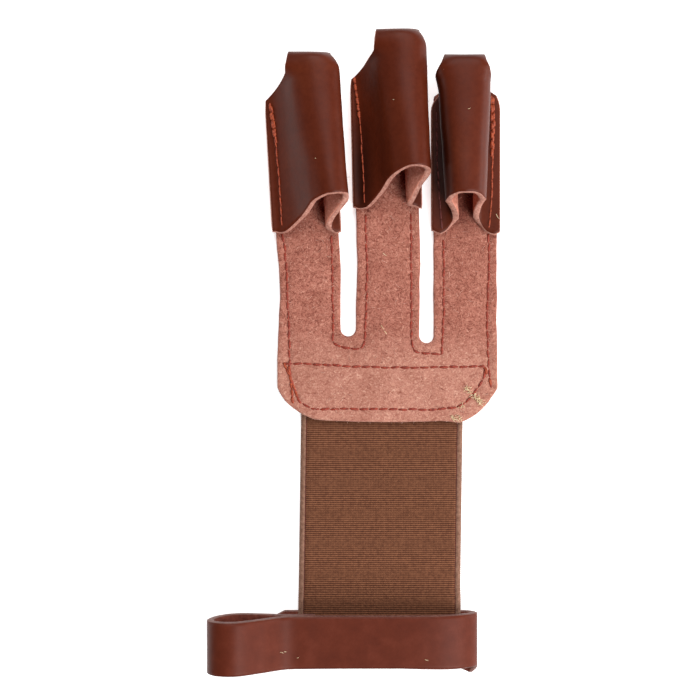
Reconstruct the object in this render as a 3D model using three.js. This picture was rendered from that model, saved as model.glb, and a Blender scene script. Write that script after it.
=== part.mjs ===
import * as THREE from "three";

// A three-finger archery glove that lies on its back, the suede side of the hand panel up.
// Each finger strip of the panel carries a stall, a leather tube sewn down at both sides and
// folded over at the tip. An elastic band is sewn behind the panel and runs down to a folded
// wrist strap. Millimetres, +Z up, fingers along +Y. The origin is on the underside of the
// hand panel, at the root of the middle finger strip.

// Materials
const leather_thickness = 2.0;
const strap_thickness = 2.1;
const elastic_thickness = 1.3;
const layer_gap = 0.3;

// Hand panel
const panel_width = 70;
const palm_drop = 29.4;
const slot_width = 4.7;
const corner_width = 12;
const corner_height = 11;
const corner_pull_in = 0.27;
const corner_pull_up = 0.36;
const bottom_bow = 0.9;
const splay_start = 20;
const ramp_run = 4.8;

// Finger stalls
const stall_width = 21.4;
const stall_height = 17.5;
const seam_length = 42.7;
const tip_reach = 13.5;
const nose_depth = 7.6;
const butt_run = 1.8;
const scoop_depth = 12;
const tab_width = 12.4;
const nose_share = 0.5;
const flattening = 0.7;

// Elastic band
const elastic_width = 51;
const elastic_lap = 19.5;
const elastic_drift = 1.3;
const elastic_shift = -1.4;
const elastic_run = 60.3;

// Wrist strap
const strap_width = 16.1;
const strap_span = 84.6;
const turn_room = 5.8;
const fold_height = 22;
const elastic_grip = 14.5;

// Mesh fineness
const stall_columns = 26;
const tube_rows = 7;
const shoulder_rows = 4;
const nose_rows = 9;
const strap_steps = 84;
const curve_steps = 5;
const same_place = 0.001;

// One row for each finger. side counts strip pitches from the middle of the panel. mouth and
// seam are shares of seam_length, reach is a share of tip_reach, splay is in degrees, and lean
// is 0 for a stall that stands upright and 1 for one that flops over to the right.
const fingers = [
  { name: "left", side: -1, mouth: 0.25, seam: 1.0, reach: 1.0, splay: 3.4, lean: 1 },
  { name: "middle", side: 0.02, mouth: 0.433, seam: 0.965, reach: 1.07, splay: 1.3, lean: 0.96 },
  { name: "right", side: 1, mouth: 0.243, seam: 1.03, reach: 0.88, splay: 0, lean: 0 },
];

// Slots between the strips: floor is a share of palm_drop below the origin.
const slots = [
  { between: -0.5, floor: 0.07 },
  { between: 0.5, floor: 0.146 },
];

// Cross-sections of a stall's outer face, at its mouth (station 0) and at the top of its
// seams (station 1). Sideways columns are shares of half of stall_width, up columns are shares
// of the height of the crown above the flanges, and bulge is 0.5 for a straight slope and 0.7
// for a round shoulder.
const sections = {
  upright: [
    { neck_left: -0.37, wall_left: -0.61, wall_left_up: 0.5, crown: -0.1, wall_right: 0.51,
      wall_right_up: 0.5, neck_right: 0.37, bulge_left: 0.72, bulge_right: 0.72 },
    { neck_left: -0.52, wall_left: -0.86, wall_left_up: 0.52, crown: -0.1, wall_right: 0.67,
      wall_right_up: 0.52, neck_right: 0.42, bulge_left: 0.74, bulge_right: 0.74 },
  ],
  leaning: [
    { neck_left: -0.66, wall_left: -0.05, wall_left_up: 0.49, crown: 0.8, wall_right: 1.31,
      wall_right_up: 0.64, neck_right: 0.68, bulge_left: 0.6, bulge_right: 0.72 },
    { neck_left: -0.7, wall_left: -0.2, wall_left_up: 0.5, crown: 0.58, wall_right: 1.25,
      wall_right_up: 0.58, neck_right: 0.64, bulge_left: 0.66, bulge_right: 0.72 },
  ],
};

// How the elastic climbs onto the strap: run counts its rise backwards from the strap's edge.
const elastic_climb = [
  { run: 4, rise: 0 },
  { run: 2.6, rise: 0.12 },
  { run: 1.2, rise: 0.88 },
  { run: 0, rise: 1 },
];

// Centre line of the strap on edge, from the end of its back layer round to its tail. across
// is a share of strap_span left of the right turn, up a share of fold_height above the back
// layer, and under counts the layers of strap that pass above a point and rest on it.
const strap_route = [
  { across: 0.749, up: 0, under: 0 },
  { across: 0.43, up: 0, under: 0 },
  { across: 0.12, up: 0, under: 0 },
  { across: 0.09, up: 0.003, under: 0 },
  { across: 0.036, up: 0.057, under: 0 },
  { across: 0.0124, up: 0.223, under: 0 },
  { across: 0.038, up: 0.394, under: 0 },
  { across: 0.102, up: 0.447, under: 0 },
  { across: 0.397, up: 0.445, under: 0 },
  { across: 0.622, up: 0.467, under: 0 },
  { across: 0.716, up: 0.51, under: 0 },
  { across: 0.806, up: 0.77, under: 0 },
  { across: 0.898, up: 1, under: 0 },
  { across: 0.965, up: 0.945, under: 0 },
  { across: 0.9876, up: 0.75, under: 0 },
  { across: 0.959, up: 0.45, under: 0 },
  { across: 0.896, up: 0.4, under: 1 },
  { across: 0.811, up: 0.42, under: 1 },
  { across: 0.716, up: 0.49, under: 1 },
  { across: 0.582, up: 0.45, under: 1 },
];

const strip_width = (panel_width - 2 * slot_width) / 3;
const strip_pitch = strip_width + slot_width;
const flange_under = leather_thickness + layer_gap;
const flange_top = flange_under + leather_thickness;
const ramp_rise = elastic_thickness + layer_gap;
const elastic_top = elastic_lap - palm_drop;
const ramp_start = elastic_top + layer_gap + ramp_run;
const strap_top = elastic_top - elastic_run - elastic_lap;

function blend(from, to, share) {
  return from + (to - from) * share;
}

function blendRows(from, to, share) {
  return Object.fromEntries(Object.keys(from).map((key) => [key, blend(from[key], to[key], share)]));
}

// Places along a strip, measured from where the strips begin to splay.
function stripPlaces(finger) {
  const mouth = finger.mouth * seam_length;
  const seamTop = mouth + finger.seam * seam_length;
  const tip = seamTop + finger.reach * tip_reach;
  const nose = tip - nose_depth;
  return { mouth, seamTop, nose, stripEnd: nose - butt_run };
}

// A closed body from a list of corners and a list of triangles. Corners at one place are shared.
function solidMesh(name, corners, triangles, look) {
  const geometry = new THREE.BufferGeometry();
  geometry.setAttribute("position", new THREE.Float32BufferAttribute(corners.flat(), 3));
  geometry.setIndex(triangles.flat());
  geometry.computeVertexNormals();
  const mesh = new THREE.Mesh(geometry, new THREE.MeshStandardMaterial(look));
  mesh.name = name;
  return mesh;
}

// A wall between an outer and an inner grid of points with the same rows and columns.
function wallSolid(name, outer, inner, look) {
  const rows = outer.length;
  const columns = outer[0].length;
  const last = columns - 1;
  const corners = [...outer.flat(), ...inner.flat()];
  const at = (row, column, side) => side * rows * columns + row * columns + column;
  const triangles = [];
  const quad = (a, b, c, d) => triangles.push([a, b, c], [a, c, d]);
  for (let r = 0; r < rows - 1; r += 1) {
    for (let c = 0; c < last; c += 1) {
      quad(at(r, c, 0), at(r, c + 1, 0), at(r + 1, c + 1, 0), at(r + 1, c, 0));
      quad(at(r, c, 1), at(r + 1, c, 1), at(r + 1, c + 1, 1), at(r, c + 1, 1));
    }
    quad(at(r, 0, 0), at(r + 1, 0, 0), at(r + 1, 0, 1), at(r, 0, 1));
    quad(at(r + 1, last, 0), at(r, last, 0), at(r, last, 1), at(r + 1, last, 1));
  }
  for (let c = 0; c < last; c += 1) {
    quad(at(0, c + 1, 0), at(0, c, 0), at(0, c, 1), at(0, c + 1, 1));
    quad(at(rows - 1, c, 0), at(rows - 1, c + 1, 0), at(rows - 1, c + 1, 1), at(rows - 1, c, 1));
  }
  return solidMesh(name, corners, triangles, look);
}

// The outline of the hand panel, anticlockwise from the left end of its bottom edge.
function panelOutline() {
  const half = panel_width / 2;
  const side = palm_drop - corner_height;
  const pullIn = corner_pull_in * corner_width;
  const pullUp = corner_pull_up * corner_height;
  const shape = new THREE.Shape();
  const along = (finger, across, up) => {
    const turn = THREE.MathUtils.degToRad(finger.splay);
    return [
      finger.side * strip_pitch + across * Math.cos(turn) - up * Math.sin(turn),
      splay_start + across * Math.sin(turn) + up * Math.cos(turn),
    ];
  };
  shape.moveTo(corner_width - half, bottom_bow - palm_drop);
  shape.quadraticCurveTo(0, -bottom_bow - palm_drop, half - corner_width, bottom_bow - palm_drop);
  shape.quadraticCurveTo(half - pullIn, pullUp - palm_drop, half, -side);
  for (const finger of [...fingers].reverse()) {
    const { seamTop, stripEnd } = stripPlaces(finger);
    const index = fingers.indexOf(finger);
    const edge = strip_width / 2;
    shape.lineTo(...along(finger, edge, 0));
    shape.lineTo(...along(finger, edge, seamTop));
    shape.lineTo(...along(finger, tab_width / 2, stripEnd));
    shape.lineTo(...along(finger, -tab_width / 2, stripEnd));
    shape.lineTo(...along(finger, -edge, seamTop));
    shape.lineTo(...along(finger, -edge, 0));
    if (index > 0) {
      const slot = slots[index - 1];
      const floor = slot_width / 2 - slot.floor * palm_drop;
      shape.absarc(slot.between * strip_pitch, floor, slot_width / 2, 0, -Math.PI, true);
    }
  }
  shape.lineTo(-half, -side);
  shape.quadraticCurveTo(pullIn - half, pullUp - palm_drop, corner_width - half, bottom_bow - palm_drop);
  return shape.extractPoints(curve_steps).shape;
}

// The part of an outline between two heights.
function cutBand(outline, low, high) {
  const keep = (points, level, sign) => points.flatMap((point, i) => {
    const next = points[(i + 1) % points.length];
    const inside = sign * (point.y - level) >= 0;
    const nextInside = sign * (next.y - level) >= 0;
    const crossing = point.clone().lerp(next, (level - point.y) / (next.y - point.y));
    return [...(inside ? [point] : []), ...(inside !== nextInside ? [crossing] : [])];
  });
  return keep(keep(outline, low, 1), high, -1);
}

// The hand panel lies flat and steps up over the elastic that is sewn behind its lower part.
function handPanel() {
  const outline = panelOutline();
  const rows = [-Infinity, ramp_start - ramp_run, ramp_start, Infinity];
  const heightAt = (y) => ramp_rise * THREE.MathUtils.clamp((ramp_start - y) / ramp_run, 0, 1);
  const corners = [];
  const places = new Map();
  const triangles = [];
  const cornerAt = (point, lift) => {
    const key = `${point.x.toFixed(4)} ${point.y.toFixed(4)} ${lift}`;
    if (!places.has(key)) {
      places.set(key, corners.length);
      corners.push([point.x, point.y, heightAt(point.y) + lift]);
    }
    return places.get(key);
  };
  for (let band = 0; band < rows.length - 1; band += 1) {
    const points = cutBand(outline, rows[band], rows[band + 1]).filter(
      (point, i, all) => point.distanceTo(all[(i + 1) % all.length]) > same_place,
    );
    for (const [a, b, c] of THREE.ShapeUtils.triangulateShape(points, [])) {
      const top = [a, b, c].map((i) => cornerAt(points[i], leather_thickness));
      const under = [c, b, a].map((i) => cornerAt(points[i], 0));
      triangles.push(top, under);
    }
    points.forEach((point, i) => {
      const next = points[(i + 1) % points.length];
      const onRow = (row) => Math.max(Math.abs(point.y - row), Math.abs(next.y - row)) < same_place;
      if (rows.some(onRow)) return;
      const [a, b] = [cornerAt(point, 0), cornerAt(next, 0)];
      const [c, d] = [cornerAt(next, leather_thickness), cornerAt(point, leather_thickness)];
      triangles.push([a, b, c], [a, c, d]);
    });
  }
  return solidMesh("hand_panel", corners, triangles, { color: "#b8796a", roughness: 0.95, metalness: 0 });
}

// The outer face of a stall in cross-section, from its left flange edge to its right one.
function sectionCurve(lean, station) {
  const row = blendRows(sections.upright[station], sections.leaning[station], lean);
  const half = stall_width / 2;
  const rise = stall_height - flange_top;
  const bend = leather_thickness / 2;
  const spot = (across, up) => new THREE.Vector3(across * half, 0, flange_top + up * rise);
  const shoulder = (wall, wallUp, bulge) => spot(
    blend(row.crown, wall, bulge),
    blend(wallUp, 1, bulge),
  );
  return new THREE.CatmullRomCurve3([
    spot(-1, 0),
    spot(row.neck_left - (2 * bend) / half, 0),
    spot(row.neck_left, bend / rise),
    spot(row.wall_left, row.wall_left_up),
    shoulder(row.wall_left, row.wall_left_up, row.bulge_left),
    spot(row.crown, 1),
    shoulder(row.wall_right, row.wall_right_up, row.bulge_right),
    spot(row.wall_right, row.wall_right_up),
    spot(row.neck_right, bend / rise),
    spot(row.neck_right + (2 * bend) / half, 0),
    spot(1, 0),
  ], false, "centripetal");
}

// Points of a stall's outer face, row by row from the scooped mouth over the nose to the strip.
function stallFace(finger) {
  const { mouth, seamTop, nose, stripEnd } = stripPlaces(finger);
  const mouthCurve = sectionCurve(finger.lean, 0);
  const tipCurve = sectionCurve(finger.lean, 1);
  const tabShare = tab_width / tipCurve.getLength();
  const across = Array.from({ length: stall_columns + 1 }, (_, i) => (2 * i) / stall_columns - 1);
  const rows = [];
  for (let i = 0; i <= tube_rows; i += 1) {
    const share = i / tube_rows;
    rows.push(across.map((u) => {
      const start = mouth + scoop_depth * (1 - u * u);
      const y = blend(start, seamTop, share);
      const station = (y - mouth) / (seamTop - mouth);
      const from = mouthCurve.getPointAt((u + 1) / 2);
      const point = from.lerp(tipCurve.getPointAt((u + 1) / 2), station);
      return [point.x, y, point.z];
    }));
  }
  for (let i = 1; i <= shoulder_rows; i += 1) {
    const share = i / shoulder_rows;
    const width = blend(1, nose_share, share);
    rows.push(across.map((u) => {
      const point = tipCurve.getPointAt((u * width + 1) / 2);
      return [point.x, blend(seamTop, nose, share), point.z];
    }));
  }
  const centre = stall_height / 2;
  for (let i = 1; i <= nose_rows; i += 1) {
    const share = i / nose_rows;
    const angle = Math.PI * (0.5 - share);
    const width = blend(nose_share, tabShare, Math.min(1, 2 * share));
    const outward = new THREE.Vector2(Math.cos(angle) / nose_depth, Math.sin(angle) / centre).normalize();
    rows.push(across.map((u) => {
      const point = tipCurve.getPointAt((u * width + 1) / 2);
      const depth = blend(stall_height - point.z, 0, share ** flattening);
      const x = blend(point.x, (u * tab_width) / 2, share * share);
      const y = nose + nose_depth * Math.cos(angle) - depth * outward.x;
      return [x, y, centre + centre * Math.sin(angle) - depth * outward.y];
    }));
  }
  rows.push(across.map((u) => [(u * tab_width) / 2, stripEnd + layer_gap, 0]));
  return rows;
}

// A copy of a grid of points, moved inwards along its own normals.
function thickenedFace(face, thickness) {
  const clampIndex = (index, length) => Math.min(Math.max(index, 0), length - 1);
  const point = (r, c) => new THREE.Vector3(
    ...face[clampIndex(r, face.length)][clampIndex(c, face[0].length)],
  );
  return face.map((row, r) => row.map((_, c) => {
    const down = point(r + 1, c).sub(point(r - 1, c));
    const along = point(r, c + 1).sub(point(r, c - 1));
    const inward = down.cross(along).normalize();
    return point(r, c).addScaledVector(inward, thickness).toArray();
  }));
}

function fingerStall(finger) {
  const outer = stallFace(finger);
  const inner = thickenedFace(outer, leather_thickness);
  const look = { color: "#5e2a1c", roughness: 0.45, metalness: 0 };
  const mesh = wallSolid(`finger_stall_${finger.name}`, outer, inner, look);
  mesh.position.set(finger.side * strip_pitch, splay_start, 0);
  mesh.rotation.z = THREE.MathUtils.degToRad(finger.splay);
  return mesh;
}

// A band of constant thickness: a centre line in a plane, thickened and given its width.
function bandSolid(name, centreLine, thickness, place, look) {
  const faces = [1, -1].map((side) => centreLine.map((point, i) => {
    const before = centreLine[Math.max(i - 1, 0)];
    const after = centreLine[Math.min(i + 1, centreLine.length - 1)];
    const normal = after.clone().sub(before).normalize();
    const offset = (side * thickness) / 2;
    const [along, up] = [point.x - normal.y * offset, point.y + normal.x * offset];
    return [place(along, up, 0), place(along, up, 1)];
  }));
  return wallSolid(name, faces[0], faces[1], look);
}

// The elastic lies on the table, passes under the panel and climbs onto the strap's back layer.
function elasticBand() {
  const bottom = strap_top - elastic_grip;
  const lift = strap_thickness + layer_gap;
  const climb = elastic_climb.map(({ run, rise }) => [
    strap_top + elastic_thickness + run * lift,
    rise * lift,
  ]);
  const centreLine = [[elastic_top, 0], ...climb, [bottom, lift]].map(
    ([y, up]) => new THREE.Vector2(y, up + elastic_thickness / 2),
  );
  const place = (y, z, side) => {
    const drift = (elastic_drift * (y - elastic_top)) / (elastic_top - bottom);
    return [elastic_shift + drift + (side - 0.5) * elastic_width, y, z];
  };
  const look = { color: "#74482f", roughness: 0.9, metalness: 0 };
  return bandSolid("elastic_band", centreLine, elastic_thickness, place, look);
}

// One strap, laid flat under the elastic, turned up at the right, folded at the left.
function wristStrap() {
  const right = elastic_shift - elastic_drift + elastic_width / 2 + turn_room;
  const layer = strap_thickness + layer_gap;
  const rise = fold_height - strap_thickness;
  const route = new THREE.CatmullRomCurve3(strap_route.map(({ across, up, under }) => new THREE.Vector3(
    right - across * strap_span,
    strap_thickness / 2 + up * rise - under * layer,
    0,
  )), false, "centripetal");
  const place = (x, z, side) => [x, strap_top - side * strap_width, z];
  const look = { color: "#71402f", roughness: 0.6, metalness: 0 };
  return bandSolid("wrist_strap", route.getSpacedPoints(strap_steps), strap_thickness, place, look);
}

const glove = new THREE.Group();
glove.add(handPanel());
fingers.forEach((finger) => glove.add(fingerStall(finger)));
glove.add(elasticBand());
glove.add(wristStrap());

export default glove;
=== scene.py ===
# %% [markdown]
# # A three-finger archery glove
# The glove lies on its back on a pale table: a pink suede hand panel with three brown leather
# finger stalls, a ribbed elastic band and a folded wrist strap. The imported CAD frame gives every
# size and place. This lesson replaces its plain solids with dressed pieces, one after another.

# %% Load the frame
import math
import random

import bmesh
import bpy
import numpy as np
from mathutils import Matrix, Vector, geometry, noise


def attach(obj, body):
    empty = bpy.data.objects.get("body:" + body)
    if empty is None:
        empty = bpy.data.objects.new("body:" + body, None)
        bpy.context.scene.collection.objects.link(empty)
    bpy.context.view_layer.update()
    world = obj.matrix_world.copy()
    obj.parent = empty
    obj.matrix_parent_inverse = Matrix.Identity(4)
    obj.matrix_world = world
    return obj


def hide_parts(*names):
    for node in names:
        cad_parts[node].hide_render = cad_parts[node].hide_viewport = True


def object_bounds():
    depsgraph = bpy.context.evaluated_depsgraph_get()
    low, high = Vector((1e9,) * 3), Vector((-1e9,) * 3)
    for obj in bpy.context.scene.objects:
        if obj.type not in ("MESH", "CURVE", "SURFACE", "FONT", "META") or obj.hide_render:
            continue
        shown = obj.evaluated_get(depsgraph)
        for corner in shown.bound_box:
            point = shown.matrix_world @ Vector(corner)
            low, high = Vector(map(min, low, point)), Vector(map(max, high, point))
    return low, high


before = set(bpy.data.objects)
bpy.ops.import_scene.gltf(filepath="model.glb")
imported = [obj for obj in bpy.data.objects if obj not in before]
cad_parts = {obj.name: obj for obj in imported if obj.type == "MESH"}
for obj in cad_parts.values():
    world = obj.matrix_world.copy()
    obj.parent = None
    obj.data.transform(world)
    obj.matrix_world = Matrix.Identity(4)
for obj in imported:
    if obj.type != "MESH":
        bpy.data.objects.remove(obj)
cad_box = [list(corner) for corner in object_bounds()]
MM = 0.001
ROOT = "root"
print("CAD box, mm:", [[round(v / MM, 1) for v in corner] for corner in cad_box])

# %% [markdown]
# ## Sizes
# The same driving dimensions as the CAD source, in millimetres, so that each dressed piece stays
# where its solid is. Everything else in the script is worked out from them.

# %% Driving dimensions, in millimetres
LEATHER = 2.0
STRAP_LEATHER = 2.1
ELASTIC = 1.3
LAYER_GAP = 0.3
PANEL_WIDTH = 70.0
PALM_DROP = 29.4
SLOT_WIDTH = 4.7
STRIP_WIDTH = (PANEL_WIDTH - 2 * SLOT_WIDTH) / 3
STRIP_PITCH = STRIP_WIDTH + SLOT_WIDTH
SPLAY_START = 20.0
STALL_WIDTH = 21.4
STALL_HEIGHT = 17.5
SEAM_LENGTH = 42.7
TIP_REACH = 13.5
NOSE_DEPTH = 7.6
BUTT_RUN = 1.8
TAB_WIDTH = 12.4
FLANGE_TOP = LEATHER + LAYER_GAP + LEATHER
ELASTIC_WIDTH = 51.0
ELASTIC_TOP = 19.5 - PALM_DROP
ELASTIC_RUN = 60.3
STRAP_TOP = ELASTIC_TOP - ELASTIC_RUN - 19.5
STRAP_WIDTH = 16.1
STRAP_SPAN = 84.6
FOLD_HEIGHT = 22.0
ELASTIC_GRIP = 14.5
RAMP_RISE = ELASTIC + LAYER_GAP
RAMP_RUN = 4.8
RAMP_START = ELASTIC_TOP + LAYER_GAP + RAMP_RUN
FINGERS = {
    "left": dict(name="left", side=-1, mouth=0.25, seam=1.0, reach=1.0, splay=3.4, lean=1,
                 corner_cut=(0.005, 0.02), nose_cut=(0.21, 0.24), nose_swell=(0.0, 0.0),
                 fold=(-2.1, 10.7), roundness=(1.0, 2.1), round_off=0.3, slant=0.5, flatness=(0.8, 0.0)),
    "middle": dict(name="middle", side=0.02, mouth=0.433, seam=0.965, reach=1.07, splay=1.3, lean=0.96,
                   corner_cut=(0.005, 0.02), nose_cut=(0.23, 0.24), nose_swell=(0.0, 0.0),
                   fold=(-2.4, 11.1), roundness=(1.0, 1.9), round_off=0.4, slant=0.1, flatness=(0.8, 0.0)),
    "right": dict(name="right", side=1, mouth=0.243, seam=1.03, reach=0.88, splay=0, lean=0,
                  corner_cut=(0.05, 0.025), nose_cut=(0.2, 0.2), nose_swell=(1.4, 0.2),
                  fold=(-7.2, 5.0), roundness=(1.25, 1.25), round_off=0.0, slant=0.0, flatness=(0.8, 0.8)),
}
print("finger strip:", round(STRIP_WIDTH, 2), "mm wide, pitch", round(STRIP_PITCH, 2), "mm")

# %% [markdown]
# ## Camera
# The photograph looks straight down from about 45 cm, so the camera hangs over the middle of
# the glove. The same camera gives a small helper: it turns a point read in the 700 x 700 picture
# into a place on the glove at a known height, which is how the seams are put where they show.

# %% Camera and the picture's points
CAMERA_HEIGHT = 450.0
CAMERA_X = -11.84
CAMERA_Y = -6.4
PICTURE_WIDTH = 700
TABLE_MM_PER_PIXEL = 0.32
SENSOR_WIDTH = 36.0
camera_data = bpy.data.cameras.new("picture_camera")
camera_data.sensor_width = SENSOR_WIDTH
camera_data.lens = SENSOR_WIDTH * CAMERA_HEIGHT / (PICTURE_WIDTH * TABLE_MM_PER_PIXEL)
camera = bpy.data.objects.new("picture_camera", camera_data)
camera.location = (CAMERA_X * MM, CAMERA_Y * MM, CAMERA_HEIGHT * MM)
bpy.context.collection.objects.link(camera)
bpy.context.scene.camera = camera


def from_picture(x, y, height):
    """The place in millimetres that the picture shows at pixel x, y, at this height."""
    scale = TABLE_MM_PER_PIXEL * (CAMERA_HEIGHT - height) / CAMERA_HEIGHT
    half = PICTURE_WIDTH / 2
    return np.array([CAMERA_X + (x - half) * scale, CAMERA_Y - (y - half) * scale, height])


print("lens:", round(camera_data.lens, 1), "mm")

# %% [markdown]
# ## Materials
# Every finish is built from nodes. One helper turns a colour picked as sRGB hex into the linear
# values that Blender mixes, and one helper adds a node with its settings and its links.
# Patterns use object coordinates in metres, so a scale is simply one over a real size.

# %% Colour and node helpers
def linear(hex_code):
    """Linear RGBA of an sRGB hex colour."""
    values = [int(hex_code[i:i + 2], 16) / 255 for i in (1, 3, 5)]
    return tuple(v / 12.92 if v <= 0.04045 else ((v + 0.055) / 1.055) ** 2.4 for v in values) + (1.0,)


def new_material(name):
    material = bpy.data.materials.new(name)
    material.use_nodes = True
    material.node_tree.nodes.clear()
    return material


def add_node(material, kind, settings=None, links=None):
    """Adds one node. settings gives properties and socket values, links gives where each
    socket's value comes from, as (node, output name)."""
    node = material.node_tree.nodes.new(kind)
    for key, value in (settings or {}).items():
        if isinstance(key, int) or key in node.inputs:
            node.inputs[key].default_value = value
        else:
            setattr(node, key, value)
    for socket, (source, output) in (links or {}).items():
        material.node_tree.links.new(source.outputs[output], node.inputs[socket])
    return node


def set_ramp(ramp_node, stops):
    """Gives a colour ramp its stops, as (place, hex colour)."""
    elements = ramp_node.color_ramp.elements
    while len(elements) < len(stops):
        elements.new(0.5)
    for element, (place, hex_code) in zip(elements, stops):
        element.position = place
        element.color = linear(hex_code)


def per_mm(size):
    """The texture scale whose features are about this many millimetres across."""
    return 1 / (size * MM)


def painted_shade_oval(material, tone, centre, reach, dark):
    """A soft oval place, in millimetres seen from above, where shade is painted darker into the colour."""
    where = add_node(material, "ShaderNodeTexCoord")
    away = add_node(material, "ShaderNodeVectorMath",
                    {"operation": "SUBTRACT", 1: (centre[0] * MM, centre[1] * MM, 0)},
                    {0: (where, "Object")})
    scaled = add_node(material, "ShaderNodeVectorMath",
                      {"operation": "MULTIPLY", 1: (per_mm(reach[0]), per_mm(reach[1]), 0)},
                      {0: (away, "Vector")})
    distance = add_node(material, "ShaderNodeVectorMath", {"operation": "LENGTH"},
                        {0: (scaled, "Vector")})
    place_tone = add_node(material, "ShaderNodeValToRGB", {}, {"Fac": (distance, "Value")})
    set_ramp(place_tone, [(0.25, dark), (1.0, "#ffffff")])
    return add_node(material, "ShaderNodeMix",
                    {"data_type": "RGBA", "blend_type": "MULTIPLY", 0: 1.0},
                    {6: (tone, 2), 7: (place_tone, "Color")})


# %% [markdown]
# ### Split suede
# The panel shows the flesh side of a chrome-tanned split, sanded to a short nap. To the eye that
# is a dry, pink-brown surface with no gloss, mottled where the nap lies different ways, and
# crossed by short pale and dark fibres. Nap clumps are about 0.8 mm across.

# %% Suede material
NAP_CLUMP = 1.0
NAP_CLOUD = 9.0
NAP_STREAK = 2.2
NAP_CURL = 2.6
# Painted shade: an oval of darker suede where the right stall's mouth shades the strip.
STALL_MOUTH_SHADE_PLACE = (25.3, 42.0)
STALL_MOUTH_SHADE_REACH = (6.0, 11.0)
suede = new_material("split_suede_sanded")
place = add_node(suede, "ShaderNodeTexCoord")
clumps = add_node(suede, "ShaderNodeTexNoise",
                  {"Scale": per_mm(NAP_CLUMP), "Detail": 5.0, "Roughness": 0.62, "Distortion": 1.6},
                  {"Vector": (place, "Object")})
clouds = add_node(suede, "ShaderNodeTexNoise",
                  {"Scale": per_mm(NAP_CLOUD), "Detail": 3.0, "Roughness": 0.6},
                  {"Vector": (place, "Object")})
stretch = add_node(suede, "ShaderNodeMapping", {"Scale": (0.35, 1.0, 1.0), "Rotation": (0, 0, 0.5)},
                   {"Vector": (place, "Object")})
streaks = add_node(suede, "ShaderNodeTexNoise",
                   {"Scale": per_mm(NAP_STREAK), "Detail": 4.0, "Roughness": 0.65, "Distortion": 2.4},
                   {"Vector": (stretch, "Vector")})
clump_tone = add_node(suede, "ShaderNodeValToRGB", {}, {"Fac": (clumps, "Fac")})
set_ramp(clump_tone, [(0.28, "#925647"), (0.45, "#b37968"), (0.57, "#bf8774"), (0.72, "#ddb09c")])
cloud_tone = add_node(suede, "ShaderNodeValToRGB", {}, {"Fac": (clouds, "Fac")})
set_ramp(cloud_tone, [(0.34, "#ebe3e0"), (0.66, "#ffffff")])
streak_tone = add_node(suede, "ShaderNodeValToRGB", {}, {"Fac": (streaks, "Fac")})
set_ramp(streak_tone, [(0.32, "#d8c4bd"), (0.46, "#ffffff")])
curls = add_node(suede, "ShaderNodeTexNoise",
                 {"Scale": per_mm(NAP_CURL), "Detail": 2.0, "Roughness": 0.5, "Distortion": 3.2},
                 {"Vector": (place, "Object")})
curl_tone = add_node(suede, "ShaderNodeValToRGB", {}, {"Fac": (curls, "Fac")})
set_ramp(curl_tone, [(0.42, "#ffffff"), (0.475, "#96665a"), (0.53, "#ffffff")])
parts = add_node(suede, "ShaderNodeSeparateXYZ", {}, {"Vector": (place, "Object")})
up_the_hand = add_node(suede, "ShaderNodeMapRange",
                       {"From Min": -14 * MM, "From Max": 4 * MM, "interpolation_type": "SMOOTHSTEP"},
                       {"Value": (parts, "Y")})
# Darker further up the hand and lighter on the palm; the share of dark curls rises the same way.
up_hand_darkening = add_node(suede, "ShaderNodeValToRGB", {}, {"Fac": (up_the_hand, "Result")})
set_ramp(up_hand_darkening, [(0.0, "#ffffff"), (1.0, "#f3e3e1")])
clouded = add_node(suede, "ShaderNodeMix",
                   {"data_type": "RGBA", "blend_type": "MULTIPLY", 0: 1.0},
                   {6: (clump_tone, "Color"), 7: (cloud_tone, "Color")})
napped = add_node(suede, "ShaderNodeMix",
                  {"data_type": "RGBA", "blend_type": "MULTIPLY", 0: 0.8},
                  {6: (clouded, 2), 7: (streak_tone, "Color")})
curl_share = add_node(suede, "ShaderNodeMapRange", {"To Min": 0.3, "To Max": 0.85},
                      {"Value": (up_the_hand, "Result")})
curled = add_node(suede, "ShaderNodeMix",
                  {"data_type": "RGBA", "blend_type": "MULTIPLY"},
                  {0: (curl_share, "Result"), 6: (napped, 2), 7: (curl_tone, "Color")})
suede_colour = add_node(suede, "ShaderNodeMix",
                {"data_type": "RGBA", "blend_type": "MULTIPLY", 0: 1.0},
                {6: (curled, 2), 7: (up_hand_darkening, "Color")})
# Painted shade on the suede seen inside the right stall's mouth.
suede_colour = painted_shade_oval(suede, suede_colour, STALL_MOUTH_SHADE_PLACE, STALL_MOUTH_SHADE_REACH, "#b89c94")
nap_height = add_node(suede, "ShaderNodeBump", {"Strength": 0.55, "Distance": 0.25 * MM},
                      {"Height": (clumps, "Fac")})
suede_shader = add_node(suede, "ShaderNodeBsdfPrincipled",
                        {"Roughness": 0.95, "IOR": 1.45, "Specular IOR Level": 0.2,
                         "Sheen Weight": 0.12, "Sheen Roughness": 0.6},
                        {"Base Color": (suede_colour, 2), "Normal": (nap_height, "Normal")})
add_node(suede, "ShaderNodeOutputMaterial", {}, {"Surface": (suede_shader, "BSDF")})
print("suede nap clumps:", NAP_CLUMP, "mm")
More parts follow.
